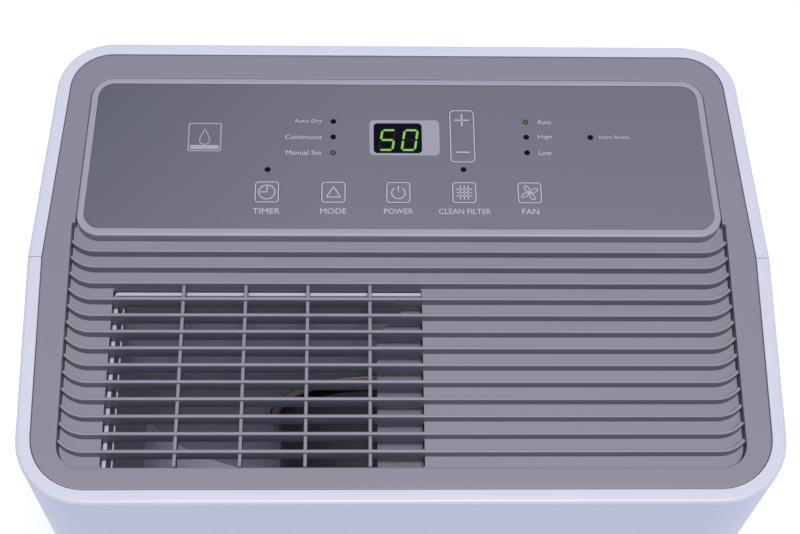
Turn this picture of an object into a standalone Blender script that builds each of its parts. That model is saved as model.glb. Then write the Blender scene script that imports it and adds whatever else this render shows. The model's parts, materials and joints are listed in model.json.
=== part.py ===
"""A portable dehumidifier that blows out at its top, as separate pieces in their working places.

Metres, +Z up. The origin is on the floor under the middle of the cabinet, and the front faces -Y.
"""

import math

import bmesh
import bpy
from mathutils import Matrix, Vector

# Cabinet: plan at the seam, tapering to the front and to the rear
WIDTH = 0.390
DEPTH = 0.2706
HEIGHT = 0.610
FRONT_TAPER = 0.0340
REAR_TAPER = 0.0577
FRONT_CORNER = 0.036
REAR_CORNER = 0.030
WALL = 0.003
RIM = 0.0073
RIM_DEEP = 0.013
COVER_FOOT = 0.030
GAP = 0.0003
SLACK = 0.010
CORNER_STEPS = 8

# Top cover and the recess of the discharge grille
TOP_FACE = HEIGHT - 0.0006
TOP_UNDER = HEIGHT - 0.012
TOP_INSET = 0.0076
RECESS_REAR = 0.0290
RECESS_FRONT = -0.1163
RECESS_HALF = 0.1741
RECESS_TAPER = 0.029
RECESS_CORNER = 0.011
TRAY_SIDE_GAP = 0.0009
TRAY_TOP = HEIGHT - 0.0064
TRAY_UNDER = HEIGHT - 0.0100
SLAT_UNDER = HEIGHT - 0.0095
SLAT_COUNT = 13
SLAT_FIRST = 0.01256
SLAT_PITCH = 0.009319
SLAT_THICK = 0.0017
SLAT_CURL = 0.017
SLAT_CURL_TURN = math.radians(50)
SLAT_CURL_STEPS = 4
VENT_LEFT = -0.1500
VENT_RIGHT = 0.0108
VENT_REAR = -0.0154
VENT_FRONT = RECESS_FRONT + 0.002
RIBS = [-0.1130, -0.0808, -0.0486, -0.0164]
RIB_THICK = 0.0018
RIB_TOP = HEIGHT - 0.0026

# Control panel
PANEL_REAR = 0.1121
PANEL_FRONT = 0.0126
PANEL_HALF_REAR = 0.1690
PANEL_HALF_FRONT = 0.1724
PANEL_CORNER_REAR = 0.0125
PANEL_CORNER_FRONT = 0.014
PANEL_FIT = 0.0004
PANEL_UNDER = HEIGHT - 0.0060
EDGE = 0.0037
EDGE_FRONT = 0.0045
OVERLAY_TOP = HEIGHT - 0.0004
OVERLAY_THICK = 0.0006
KEY_SIZE = 0.0132
KEY_Y = 0.0395
KEY_XS = {"timer": -0.0714, "mode": -0.0358, "power": -0.0010, "filter": 0.0344, "fan": 0.0696}
KEY_CORNER = 0.002
KEY_GAP = 0.0002
KEY_UNDER = HEIGHT - 0.0055
ROCKER = (0.0274, 0.0412, 0.0583, 0.0921)
LENS = (-0.0140, 0.0120, 0.0643, 0.0831)
BOARD_UNDER = HEIGHT - 0.0160
BOARD_THICK = 0.0016
SWITCH_HALF = 0.003

# Blower: a wheel on a lengthways axis in a scroll that opens upwards
BLOWER_X = -0.014
BLOWER_Z = 0.460
WHEEL_RADIUS = 0.060
WHEEL_FRONT = -0.028
WHEEL_REAR = 0.024
BLADE_COUNT = 22
SCROLL_FRONT = -0.118
SCROLL_REAR = 0.034
SCROLL_WALL = 0.002
SCROLL_START = 0.072
SCROLL_GROWTH = 0.01478
TONGUE_TURN = math.radians(60)
SCROLL_SWEEP = math.pi + TONGUE_TURN
SCROLL_STEPS = 28
SCROLL_LEFT = BLOWER_X - SCROLL_START - SCROLL_GROWTH * SCROLL_SWEEP
DUCT_TOP = HEIGHT - 0.0125
DUCT_REAR = -0.0176
LIP_TOP = HEIGHT - 0.0104
SCROLL_ROOF = HEIGHT - 0.024
INLET_RADIUS = 0.050
SHAFT_RADIUS = 0.004
MOTOR_RADIUS = 0.037
MOTOR_FRONT = -0.100

# Cooling circuit
COIL_HALF = 0.150
COIL_LOW = 0.2985
COIL_HIGH = 0.548
EVAPORATOR_Y = (0.096, 0.121)
CONDENSER_Y = (0.061, 0.086)
COMPRESSOR = Vector((0.060, 0.0855, 0.0))
COMPRESSOR_RADIUS = 0.044
COMPRESSOR_TOP = 0.215
FOOT_SPREAD = 0.038
EAR_RADIUS = 0.0115
GROMMET_RADIUS = 0.009
GROMMET_TOP = 0.0557
CAPACITOR = (-0.110, 0.086)
CAPACITOR_RADIUS = 0.018
CAPACITOR_HIGH = 0.075

# Bucket, chassis and base
DECK_LOW = 0.290
DECK_HIGH = 0.292
BAY_WALL_Y = (0.033, 0.035)
PAN_UNDER = 0.038
PAN_FLOOR = 0.041
PAN_EDGE = 0.0440
BUCKET_HALF = 0.160
BUCKET_Y = (-0.1307, 0.028)
BUCKET_Z = (0.056, 0.222)
BUCKET_WALL = 0.0022
BUCKET_CORNER = 0.018
HANDLE_AXIS = (-0.050, 0.212)
HANDLE_WIRE = 0.0032
FRONT_PANEL_HALF = 0.1676
FRONT_PANEL_Z = (0.046, 0.286)
FRONT_PANEL_BACK = -0.1311
FRONT_PANEL_FIT = 0.0004
POCKET_X = (-0.060, 0.060)
POCKET_Z = (0.236, 0.270)
POCKET_BACK = -0.1145
POCKET_WALL = 0.0025
LEVEL_X = (-0.011, 0.011)
LEVEL_Z = (0.080, 0.200)
OPENING_CORNER = 0.006
FLOAT_AXIS = (0.018, 0.196)
FLOAT_PIN = 0.0020

# Finger pockets in the sides, half in each cover
GRIP_HALF = 0.048
GRIP_Z = (0.470, 0.510)
GRIP_CORNER = 0.010
GRIP_FACE = 0.1920
GRIP_BACK = 0.1680
GRIP_WALL = 0.0025

# Rear
WINDOW_HALF = 0.150
WINDOW_Z = (0.300, 0.560)
SLOT_ROWS = 12
SLOT_COLUMNS = 3
SLOT_MARGIN = 0.012
SLOT_DIVIDER = 0.008
SLOT_BAR = 0.007
DRAIN = (0.120, 0.262)
DRAIN_RADIUS = 0.012
CORD = (-0.150, 0.090)
CORD_RADIUS = 0.008

# Casters
CASTER_X = 0.150
CASTER_Y = 0.095
CASTER_TRAIL = 0.008
CASTER_RADIUS = 0.015
CASTER_WIDTH = 0.012
CASTER_AXLE = 0.002
FORK_TOP = 0.0350
FORK_UNDER = 0.0315
CHEEK = 0.0025
STEM_RADIUS = 0.0038
STEM_TOP = 0.0520

for old in list(bpy.data.objects):
    bpy.data.objects.remove(old, do_unlink=True)


def new_collection(name):
    """A collection of this name in the scene."""
    group = bpy.data.collections.new(name)
    bpy.context.scene.collection.children.link(group)
    return group


PARTS = new_collection("Dehumidifier")
CUTTERS = new_collection("Cutters")
CUTTERS.hide_render = True


def material(name, colour, roughness, metallic=0.0):
    """A plain Principled material."""
    made = bpy.data.materials.new(name)
    made.use_nodes = True
    shader = made.node_tree.nodes["Principled BSDF"]
    shader.inputs["Base Color"].default_value = (*colour, 1.0)
    shader.inputs["Roughness"].default_value = roughness
    shader.inputs["Metallic"].default_value = metallic
    return made


# ---------------------------------------------------------------- shapes


def rounded(corners, steps=CORNER_STEPS):
    """The points of a closed outline. Each corner is (x, y) or (x, y, radius)."""
    points = []
    for i, corner in enumerate(corners):
        here = Vector(corner[:2]).to_3d()
        before = Vector(corners[i - 1][:2]).to_3d()
        after = Vector(corners[(i + 1) % len(corners)][:2]).to_3d()
        radius = corner[2] if len(corner) > 2 else 0.0
        points += bend(before, here, after, radius, steps)
    return points


def bend(before, here, after, radius, steps):
    """The corner at here as an arc between its two straight runs, or as itself."""
    if radius <= 0.0:
        return [here]
    back = (before - here).normalized()
    ahead = (after - here).normalized()
    half = back.angle(ahead) / 2
    middle = (back + ahead).normalized()
    side = (ahead - back).normalized()
    centre = here + middle * radius / math.sin(half)
    swing = math.pi / 2 - half
    arc = []
    for i in range(steps + 1):
        turn = swing * (2 * i / steps - 1)
        arc.append(centre + radius * (side * math.sin(turn) - middle * math.cos(turn)))
    return arc


def place(name, mesh, group):
    """A new object in a collection."""
    made = bpy.data.objects.new(name, mesh)
    group.objects.link(made)
    return made


def prism(name, outline, low, high, along="Z"):
    """A flat outline given thickness from low to high along an axis.

    Along Z the outline lies in X and Y. Along Y it lies in X and Z. Along X it lies in Y and Z.
    """
    curve = bpy.data.curves.new(name, "CURVE")
    curve.dimensions = "2D"
    curve.fill_mode = "BOTH"
    curve.extrude = (high - low) / 2
    spline = curve.splines.new("POLY")
    spline.points.add(len(outline) - 1)
    for point, target in zip(spline.points, outline):
        point.co = (target[0], target[1], 0.0, 1.0)
    spline.use_cyclic_u = True
    flat = place(name, curve, CUTTERS)
    bpy.context.view_layer.update()
    graph = bpy.context.evaluated_depsgraph_get()
    mesh = bpy.data.meshes.new_from_object(flat.evaluated_get(graph))
    bpy.data.objects.remove(flat)
    turns = {
        "Z": Matrix.Identity(4),
        "Y": Matrix(((1, 0, 0, 0), (0, 0, 1, 0), (0, 1, 0, 0), (0, 0, 0, 1))),
        "X": Matrix(((0, 0, 1, 0), (1, 0, 0, 0), (0, 1, 0, 0), (0, 0, 0, 1))),
    }
    shape = bmesh.new()
    shape.from_mesh(mesh)
    bmesh.ops.remove_doubles(shape, verts=shape.verts, dist=1e-6)
    bmesh.ops.translate(shape, verts=shape.verts, vec=(0, 0, (low + high) / 2))
    bmesh.ops.transform(shape, verts=shape.verts, matrix=turns[along])
    bmesh.ops.recalc_face_normals(shape, faces=shape.faces)
    shape.to_mesh(mesh)
    shape.free()
    return place(name, mesh, PARTS)


def block(name, xs, ys, zs):
    """A box between pairs of X, Y and Z."""
    shape = bmesh.new()
    bmesh.ops.create_cube(shape, size=1.0)
    size = Vector((xs[1] - xs[0], ys[1] - ys[0], zs[1] - zs[0]))
    middle = Vector((xs[0] + xs[1], ys[0] + ys[1], zs[0] + zs[1])) / 2
    bmesh.ops.scale(shape, verts=shape.verts, vec=size)
    bmesh.ops.translate(shape, verts=shape.verts, vec=middle)
    mesh = bpy.data.meshes.new(name)
    shape.to_mesh(mesh)
    shape.free()
    return place(name, mesh, PARTS)


def rod(name, start, end, radius, sides=24):
    """A cylinder between two points."""
    start = Vector(start)
    run = Vector(end) - start
    shape = bmesh.new()
    bmesh.ops.create_cone(
        shape, cap_ends=True, segments=sides, radius1=radius, radius2=radius, depth=run.length
    )
    turn = run.to_track_quat("Z", "Y").to_matrix().to_4x4()
    bmesh.ops.transform(shape, verts=shape.verts, matrix=Matrix.Translation(start + run / 2) @ turn)
    mesh = bpy.data.meshes.new(name)
    shape.to_mesh(mesh)
    shape.free()
    return place(name, mesh, PARTS)


def turned(name, profile, centre, along="Z", sides=32):
    """A profile of (radius, height) pairs, top to bottom, turned round an axis through centre."""
    mesh = bpy.data.meshes.new(name)
    edges = [(i, i + 1) for i in range(len(profile) - 1)]
    mesh.from_pydata([(radius, 0.0, height) for radius, height in profile], edges, [])
    made = place(name, mesh, PARTS)
    screw = made.modifiers.new("Screw", "SCREW")
    screw.steps = sides
    screw.render_steps = sides
    screw.use_merge_vertices = True
    screw.merge_threshold = 1e-5
    made.location = centre
    if along == "Y":
        made.rotation_euler.x = -math.pi / 2
    return made


def wire(name, points, radius, corner, steps=3):
    """A round wire or tube through points, its corners bent to a radius."""
    route = [Vector(points[0])]
    for before, here, after in zip(points, points[1:], points[2:]):
        route += bend(Vector(before), Vector(here), Vector(after), corner, steps)
    route.append(Vector(points[-1]))
    curve = bpy.data.curves.new(name, "CURVE")
    curve.dimensions = "3D"
    curve.bevel_depth = radius
    curve.bevel_resolution = 2
    curve.use_fill_caps = True
    spline = curve.splines.new("POLY")
    spline.points.add(len(route) - 1)
    for point, target in zip(spline.points, route):
        point.co = (*target, 1.0)
    return place(name, curve, PARTS)


def combine(target, operation, *tools):
    """Cuts tools out of the target, or joins them to it."""
    for tool in tools:
        for group in list(tool.users_collection):
            group.objects.unlink(tool)
        CUTTERS.objects.link(tool)
        tool.hide_render = True
        tool.display_type = "WIRE"
        change = target.modifiers.new(tool.name, "BOOLEAN")
        change.operation = operation
        change.solver = "EXACT"
        change.object = tool
    return target


def cut(target, *tools):
    """Takes the tools away from the target."""
    return combine(target, "DIFFERENCE", *tools)


def join(target, *tools):
    """Makes the tools and the target one body."""
    return combine(target, "UNION", *tools)


def settle(target):
    """Applies the target's modifiers and removes the tools that they used."""
    bpy.context.view_layer.update()
    graph = bpy.context.evaluated_depsgraph_get()
    mesh = bpy.data.meshes.new_from_object(target.evaluated_get(graph))
    tools = [change.object for change in target.modifiers if change.type == "BOOLEAN"]
    target.modifiers.clear()
    target.data = mesh
    for tool in tools:
        bpy.data.objects.remove(tool)
    return target


def finish(target, look, smooth=None):
    """Settles the shape, and gives it its material and, where it is round, smooth shading."""
    if target.type == "MESH":
        settle(target)
        if smooth:
            target.data.shade_smooth()
            target.data.set_sharp_from_angle(angle=math.radians(smooth))
    target.data.materials.clear()
    target.data.materials.append(look)
    return target


def pivot(target, point):
    """Puts a finished piece's origin on its joint."""
    point = Vector(point)
    target.data.transform(Matrix.Translation(-point))
    target.location = point
    return target


def half_plan(inset, sign, seam):
    """The front (sign -1) or rear (sign +1) half of the cabinet's plan, from seam to the end."""
    taper = REAR_TAPER if sign > 0 else FRONT_TAPER
    corner = REAR_CORNER if sign > 0 else FRONT_CORNER
    end = DEPTH / 2 - inset
    at_seam = WIDTH / 2 - inset - taper * seam
    at_end = WIDTH / 2 - inset - taper * end
    return rounded(
        [
            (-at_seam, sign * seam),
            (-at_end, sign * end, corner - inset),
            (at_end, sign * end, corner - inset),
            (at_seam, sign * seam),
        ]
    )


def full_plan(inset):
    """The whole plan of the cabinet, inset from its outer face."""
    half = WIDTH / 2 - inset
    end = DEPTH / 2 - inset
    front = half - FRONT_TAPER * end
    rear = half - REAR_TAPER * end
    return rounded(
        [
            (-half, 0.0),
            (-front, -end, FRONT_CORNER - inset),
            (front, -end, FRONT_CORNER - inset),
            (half, 0.0),
            (rear, end, REAR_CORNER - inset),
            (-rear, end, REAR_CORNER - inset),
        ]
    )


def recess_plan(inset, side_gap=0.0):
    """The outline of the grille's recess, or of the tray that lies in it with a gap at its sides."""
    rear = RECESS_HALF - inset - side_gap
    length = RECESS_REAR - RECESS_FRONT
    front = rear - RECESS_TAPER * length
    return rounded(
        [
            (-rear, RECESS_REAR - inset),
            (-front, RECESS_FRONT + inset, RECESS_CORNER),
            (front, RECESS_FRONT + inset, RECESS_CORNER),
            (rear, RECESS_REAR - inset),
        ]
    )


def panel_plan(inset, front_inset=None):
    """The outline of the control panel. Its front edge can be wider than the other three."""
    front = PANEL_FRONT + (inset if front_inset is None else front_inset)
    rear = PANEL_REAR - inset
    return rounded(
        [
            (-PANEL_HALF_FRONT + inset, front, PANEL_CORNER_FRONT - inset),
            (PANEL_HALF_FRONT - inset, front, PANEL_CORNER_FRONT - inset),
            (PANEL_HALF_REAR - inset, rear, PANEL_CORNER_REAR - inset),
            (-PANEL_HALF_REAR + inset, rear, PANEL_CORNER_REAR - inset),
        ]
    )


def rounded_box(xs, ys, corner, grow=0.0):
    """A rectangle with rounded corners, grown on every side."""
    low_x, high_x = xs[0] - grow, xs[1] + grow
    low_y, high_y = ys[0] - grow, ys[1] + grow
    radius = corner + grow
    return rounded(
        [
            (low_x, low_y, radius),
            (high_x, low_y, radius),
            (high_x, high_y, radius),
            (low_x, high_y, radius),
        ],
        steps=3,
    )


# ---------------------------------------------------------------- materials

WHITE = material("White casing", (0.72, 0.71, 0.80), 0.35)
GREY = material("Grey cover", (0.30, 0.28, 0.32), 0.45)
EDGING = material("Panel edge", (0.42, 0.41, 0.47), 0.35)
OVERLAY = material("Overlay film", (0.22, 0.20, 0.24), 0.40)
DARK_LENS = material("Dark lens", (0.01, 0.01, 0.01), 0.08)
DUCT = material("Duct plastic", (0.12, 0.11, 0.14), 0.55)
WHEEL_BROWN = material("Wheel", (0.09, 0.06, 0.05), 0.45)
BARE_STEEL = material("Bare steel", (0.55, 0.55, 0.57), 0.35, 1.0)
BLACK_PAINT = material("Black paint", (0.02, 0.02, 0.02), 0.45)
FINS = material("Aluminium fins", (0.75, 0.76, 0.78), 0.40, 1.0)
COPPER = material("Copper", (0.78, 0.40, 0.24), 0.30, 1.0)
RUBBER = material("Rubber", (0.03, 0.03, 0.03), 0.85)
BOARD_GREEN = material("Circuit board", (0.03, 0.16, 0.07), 0.50)
NATURAL = material("Natural plastic", (0.80, 0.80, 0.78), 0.40)
CLEAR = material("Clear plastic", (0.75, 0.82, 0.88), 0.08)
FOAM = material("Foam", (0.85, 0.85, 0.82), 0.80)
FILTER_NET = material("Filter net", (0.08, 0.08, 0.09), 0.80)
NYLON = material("Nylon", (0.04, 0.04, 0.045), 0.50)


# ---------------------------------------------------------------- cabinet


def cover(name, sign):
    """One half of the casing: thin walls, and a thick rim round the top cover."""
    shell = prism(name, half_plan(0.0, sign, GAP / 2), COVER_FOOT, HEIGHT)
    inside = prism(
        name + "_inside", half_plan(WALL, sign, -SLACK), COVER_FOOT - SLACK, HEIGHT - RIM_DEEP
    )
    mouth = prism(
        name + "_mouth", half_plan(RIM, sign, -SLACK), HEIGHT - RIM_DEEP - SLACK, HEIGHT + SLACK
    )
    return cut(shell, inside, mouth, *grip_cutters(name))


def grip_cutters(name):
    """The holes that the side grips sit in."""
    hole = rounded_box((-GRIP_HALF, GRIP_HALF), GRIP_Z, GRIP_CORNER)
    outside = WIDTH / 2 + SLACK
    spans = {"left": (-outside, -GRIP_BACK), "right": (GRIP_BACK, outside)}
    return [prism(f"{name}_grip_hole_{side}", hole, *span, "X") for side, span in spans.items()]


def front_cover():
    """The front half, with the opening that the bucket's front closes."""
    shell = cover("front_cover", -1)
    front = -DEPTH / 2
    xs = (-FRONT_PANEL_HALF, FRONT_PANEL_HALF)
    outline = rounded_box(xs, FRONT_PANEL_Z, OPENING_CORNER, FRONT_PANEL_FIT)
    opening = prism("bucket_opening", outline, front - SLACK, front + WALL + SLACK, "Y")
    finish(cut(shell, opening), WHITE, 30)


def rear_cover():
    """The rear half, with the intake window and the holes for the drain and the cord."""
    shell = cover("rear_cover", 1)
    low, high = DEPTH / 2 - WALL - SLACK, DEPTH / 2 + SLACK
    outline = rounded_box((-WINDOW_HALF, WINDOW_HALF), WINDOW_Z, OPENING_CORNER)
    window = prism("intake_window", outline, low, high, "Y")
    holes = [
        rod(f"{name}_hole", (x, low, z), (x, high, z), radius + GAP)
        for name, (x, z), radius in (("drain", DRAIN, DRAIN_RADIUS), ("cord", CORD, CORD_RADIUS))
    ]
    finish(cut(shell, window, *holes), WHITE, 30)


def side_grip(name, side):
    """A finger pocket set into the side of the casing."""
    ys = (-GRIP_HALF, GRIP_HALF)
    low, high = sorted((side * GRIP_BACK, side * GRIP_FACE))
    cup = prism(name, rounded_box(ys, GRIP_Z, GRIP_CORNER, -GAP), low + GAP, high - GAP, "X")
    low, high = sorted((side * (GRIP_BACK + GRIP_WALL), side * (GRIP_FACE + SLACK)))
    hollow = prism(name + "_hollow", rounded_box(ys, GRIP_Z, GRIP_CORNER, -GRIP_WALL), low, high, "X")
    finish(cut(cup, hollow), GREY, 30)


def top_cover():
    """The grey cover inside the rim, open where the control panel and the grille sit."""
    plate = prism("top_cover", full_plan(TOP_INSET), TOP_UNDER, TOP_FACE)
    for_panel = prism("panel_window", panel_plan(-PANEL_FIT), TOP_UNDER - SLACK, TOP_FACE + SLACK)
    for_grille = prism("grille_window", recess_plan(0.0), TOP_UNDER - SLACK, TOP_FACE + SLACK)
    finish(cut(plate, for_panel, for_grille), GREY, 30)


def slat_outline(number):
    """One slat seen from above: straight, with both ends curling back."""
    front = SLAT_FIRST - SLAT_PITCH * number
    half = RECESS_HALF - RECESS_TAPER * (RECESS_REAR - front) - 2 * GAP
    straight = half - SLAT_CURL * math.sin(SLAT_CURL_TURN)
    edges = []
    for side, offset in ((1, 0.0), (-1, SLAT_THICK)):
        radius = SLAT_CURL - offset
        run = []
        for i in range(SLAT_CURL_STEPS + 1):
            turn = SLAT_CURL_TURN * i / SLAT_CURL_STEPS
            x = straight + radius * math.sin(turn)
            y = front + SLAT_CURL - radius * math.cos(turn)
            run.append((x, y))
        left = [(-x, y) for x, y in reversed(run)]
        edge = left + run
        edges += edge if side > 0 else list(reversed(edge))
    return edges


def discharge_grille():
    """A tray with curled slats across it and a ribbed opening over the blower's duct."""
    tray = prism("discharge_grille", recess_plan(GAP, TRAY_SIDE_GAP), TRAY_UNDER, TRAY_TOP)
    vent = block("vent", (VENT_LEFT, VENT_RIGHT), (VENT_FRONT, VENT_REAR), (TRAY_UNDER - SLACK, HEIGHT))
    cut(tray, vent)
    slats = [
        prism(f"slat_{number}", slat_outline(number), SLAT_UNDER, TOP_FACE)
        for number in range(1, SLAT_COUNT + 1)
    ]
    ribs = [
        block(
            f"rib_{number}",
            (x - RIB_THICK / 2, x + RIB_THICK / 2),
            (VENT_FRONT - 0.0008, VENT_REAR + 0.0012),
            (SLAT_UNDER + 0.0002, RIB_TOP),
        )
        for number, x in enumerate(RIBS)
    ]
    finish(join(tray, *slats, *ribs), GREY, 30)


# ---------------------------------------------------------------- control panel


def key_outline(x, grow=0.0):
    """A square key's outline about its place on the row of keys."""
    half = KEY_SIZE / 2
    return rounded_box((x - half, x + half), (KEY_Y - half, KEY_Y + half), KEY_CORNER, grow)


def panel_cutters(prefix, grow):
    """The holes for the keys, the rocker and the display lens."""
    outlines = {name: key_outline(x, grow) for name, x in KEY_XS.items()}
    for name, (left, right, front, rear) in {"rocker": ROCKER, "lens": LENS}.items():
        outlines[name] = rounded_box((left, right), (front, rear), KEY_CORNER, grow)
    return [
        prism(f"{prefix}_{name}_hole", outline, PANEL_UNDER - SLACK, HEIGHT + SLACK)
        for name, outline in outlines.items()
    ]


def control_panel():
    """The moulded panel with its light raised edge, and the printed film that lies in it."""
    plate = prism("control_panel", panel_plan(0.0), PANEL_UNDER, HEIGHT)
    film_under = OVERLAY_TOP - OVERLAY_THICK
    pocket = prism("film_pocket", panel_plan(EDGE, EDGE_FRONT), film_under - GAP, HEIGHT + SLACK)
    finish(cut(plate, pocket, *panel_cutters("panel", KEY_GAP)), EDGING, 30)
    film_plan = panel_plan(EDGE + KEY_GAP, EDGE_FRONT + KEY_GAP)
    film = prism("control_overlay", film_plan, film_under, OVERLAY_TOP)
    finish(cut(film, *panel_cutters("film", KEY_GAP)), OVERLAY, 30)


def keys():
    """Five square keys, the rocker and the lens of the display, flush with the film."""
    for name, x in KEY_XS.items():
        key = finish(prism(f"key_{name}", key_outline(x), KEY_UNDER, OVERLAY_TOP), OVERLAY, 30)
        pivot(key, (x, KEY_Y, OVERLAY_TOP))
    left, right, front, rear = ROCKER
    outline = rounded_box((left, right), (front, rear), KEY_CORNER)
    rocker = finish(prism("humidity_rocker", outline, KEY_UNDER, OVERLAY_TOP), OVERLAY, 30)
    pivot(rocker, ((left + right) / 2, (front + rear) / 2, OVERLAY_TOP - 0.002))
    left, right, front, rear = LENS
    outline = rounded_box((left, right), (front, rear), KEY_CORNER)
    finish(prism("display_lens", outline, KEY_UNDER, OVERLAY_TOP), DARK_LENS, 30)


def control_board():
    """The circuit board under the panel, with a switch below each key."""
    board_zs = (BOARD_UNDER, BOARD_UNDER + BOARD_THICK)
    board = block("control_board", (-0.100, 0.100), (0.026, 0.104), board_zs)
    spots = [(x, KEY_Y) for x in KEY_XS.values()]
    rocker_x = (ROCKER[0] + ROCKER[1]) / 2
    spots += [(rocker_x, ROCKER[2] + 0.006), (rocker_x, ROCKER[3] - 0.006)]
    switches = [
        block(
            f"switch_{i}",
            (x - SWITCH_HALF, x + SWITCH_HALF),
            (y - SWITCH_HALF, y + SWITCH_HALF),
            (BOARD_UNDER + BOARD_THICK / 2, PANEL_UNDER - 0.0008),
        )
        for i, (x, y) in enumerate(spots)
    ]
    finish(join(board, *switches), BOARD_GREEN)


# ---------------------------------------------------------------- blower


def scroll_outline(grow, top):
    """The scroll in X and Z: a spiral from the tongue round to a straight left wall."""
    points = []
    for i in range(SCROLL_STEPS + 1):
        turned_by = SCROLL_SWEEP * i / SCROLL_STEPS
        radius = SCROLL_START + SCROLL_GROWTH * turned_by + grow
        angle = TONGUE_TURN - turned_by
        points.append((BLOWER_X + radius * math.cos(angle), BLOWER_Z + radius * math.sin(angle)))
    points.append((points[-1][0], top))
    points.append((VENT_RIGHT + grow, top))
    return points


def blower_housing():
    """The scroll and its duct, open upwards under the vent and backwards round the inlet."""
    wall_back = DUCT_REAR + SCROLL_WALL
    shell = prism("blower_housing", scroll_outline(SCROLL_WALL, DUCT_TOP), SCROLL_FRONT, SCROLL_REAR, "Y")
    behind = block("behind_duct", (-WIDTH, WIDTH), (wall_back, SCROLL_REAR + SLACK), (SCROLL_ROOF, HEIGHT))
    inside = (SCROLL_FRONT + SCROLL_WALL, SCROLL_REAR - SCROLL_WALL)
    hollow = prism("hollow", scroll_outline(0.0, HEIGHT), *inside, "Y")
    cut(shell, behind, hollow)
    wide = (SCROLL_LEFT - SCROLL_WALL / 2, VENT_RIGHT + SCROLL_WALL / 2)
    roof = block(
        "roof",
        wide,
        (DUCT_REAR + 0.0003, SCROLL_REAR - SCROLL_WALL / 2),
        (SCROLL_ROOF - SCROLL_WALL, SCROLL_ROOF - 0.0002),
    )
    lip = block("lip", wide, (DUCT_REAR, wall_back - 0.0002), (SCROLL_ROOF - 0.003, LIP_TOP))
    join(shell, roof, lip)
    inlet = rod(
        "inlet",
        (BLOWER_X, SCROLL_REAR - SCROLL_WALL - SLACK, BLOWER_Z),
        (BLOWER_X, SCROLL_REAR + SLACK, BLOWER_Z),
        INLET_RADIUS,
        40,
    )
    finish(cut(shell, inlet), DUCT, 30)


def blower_wheel():
    """A drum of blades between a front disc with a hub and a rear ring."""
    centre = (BLOWER_X, 0.0, BLOWER_Z)

    def along(radius, start, end, name, sides=40):
        return rod(name, (centre[0], start, centre[2]), (centre[0], end, centre[2]), radius, sides)

    wheel = along(WHEEL_RADIUS, WHEEL_FRONT, WHEEL_FRONT + 0.003, "blower_wheel")
    ring = along(WHEEL_RADIUS, WHEEL_REAR - 0.003, WHEEL_REAR, "wheel_ring")
    settle(cut(ring, along(WHEEL_RADIUS - 0.011, WHEEL_REAR - SLACK, WHEEL_REAR + SLACK, "ring_hole")))
    hub = along(0.010, WHEEL_FRONT + 0.001, 0.0, "wheel_hub", 24)
    blades = []
    for i in range(BLADE_COUNT):
        blade = block(
            f"blade_{i}",
            (-0.0004, 0.0004),
            (WHEEL_FRONT + 0.002, WHEEL_REAR - 0.002),
            (WHEEL_RADIUS - 0.0105, WHEEL_RADIUS - 0.0006),
        )
        lean = Matrix.Translation((0, 0, WHEEL_RADIUS - 0.005)) @ Matrix.Rotation(0.45, 4, "Y")
        spin = Matrix.Rotation(2 * math.pi * i / BLADE_COUNT, 4, "Y")
        blade.data.transform(lean @ Matrix.Translation((0, 0, -WHEEL_RADIUS + 0.005)))
        blade.data.transform(Matrix.Translation(centre) @ spin)
        blades.append(blade)
    join(wheel, ring, hub, *blades)
    cut(wheel, along(SHAFT_RADIUS + GAP, WHEEL_FRONT - SLACK, -0.003, "hub_bore", 20))
    pivot(finish(wheel, WHEEL_BROWN, 30), centre)


def fan_motor():
    """The fan's motor in the duct, its shaft, and the bracket that holds it to the housing."""
    x, z = BLOWER_X, BLOWER_Z
    back = MOTOR_FRONT - GAP
    profile = [
        (0.0, 0.0650),
        (0.0120, 0.0650),
        (0.0120, 0.0580),
        (0.0300, 0.0580),
        (0.0355, 0.0560),
        (MOTOR_RADIUS, 0.0520),
        (MOTOR_RADIUS, 0.0060),
        (0.0355, 0.0020),
        (0.0300, 0.0),
        (0.0, 0.0),
    ]
    motor = settle(turned("fan_motor", profile, (x, MOTOR_FRONT, z), "Y", 28))
    bore = rod("motor_bore", (x, -0.050, z), (x, -0.030, z), SHAFT_RADIUS + GAP, 20)
    finish(cut(motor, bore), BLACK_PAINT, 30)
    shaft = finish(rod("motor_shaft", (x, -0.048, z), (x, -0.004, z), SHAFT_RADIUS, 20), BARE_STEEL, 30)
    pivot(shaft, (x, -0.048, z))
    plate = rod("motor_bracket", (x, back - 0.002, z), (x, back, z), 0.034, 24)
    legs = []
    for i in range(4):
        turn = math.radians(45 + 90 * i)
        leg_x, leg_z = x + 0.027 * math.cos(turn), z + 0.027 * math.sin(turn)
        front = SCROLL_FRONT + SCROLL_WALL + GAP
        legs.append(rod(f"leg_{i}", (leg_x, front, leg_z), (leg_x, back - 0.001, leg_z), 0.004, 12))
    finish(join(plate, *legs), BARE_STEEL, 30)


# ---------------------------------------------------------------- cooling circuit


def coil(name, ys):
    """A finned block between two tube plates, with the return bends at its left end."""
    body = block(name, (-COIL_HALF, COIL_HALF), ys, (COIL_LOW, COIL_HIGH))
    plates = [
        block(
            f"{name}_plate_{side}",
            tuple(sorted((side * (COIL_HALF - 0.0005), side * (COIL_HALF + 0.0012)))),
            (ys[0] - 0.001, ys[1] + 0.001),
            (COIL_LOW - 0.0005, COIL_HIGH + 0.002),
        )
        for side in (-1, 1)
    ]
    middle = (ys[0] + ys[1]) / 2
    bends = [
        block(
            f"{name}_bend_{i}",
            (-COIL_HALF - 0.010, -COIL_HALF),
            (middle - 0.003, middle + 0.003),
            (z, z + 0.026),
        )
        for i, z in enumerate(COIL_LOW + 0.012 + 0.040 * k for k in range(6))
    ]
    finish(join(body, *plates, *bends), FINS)


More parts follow.
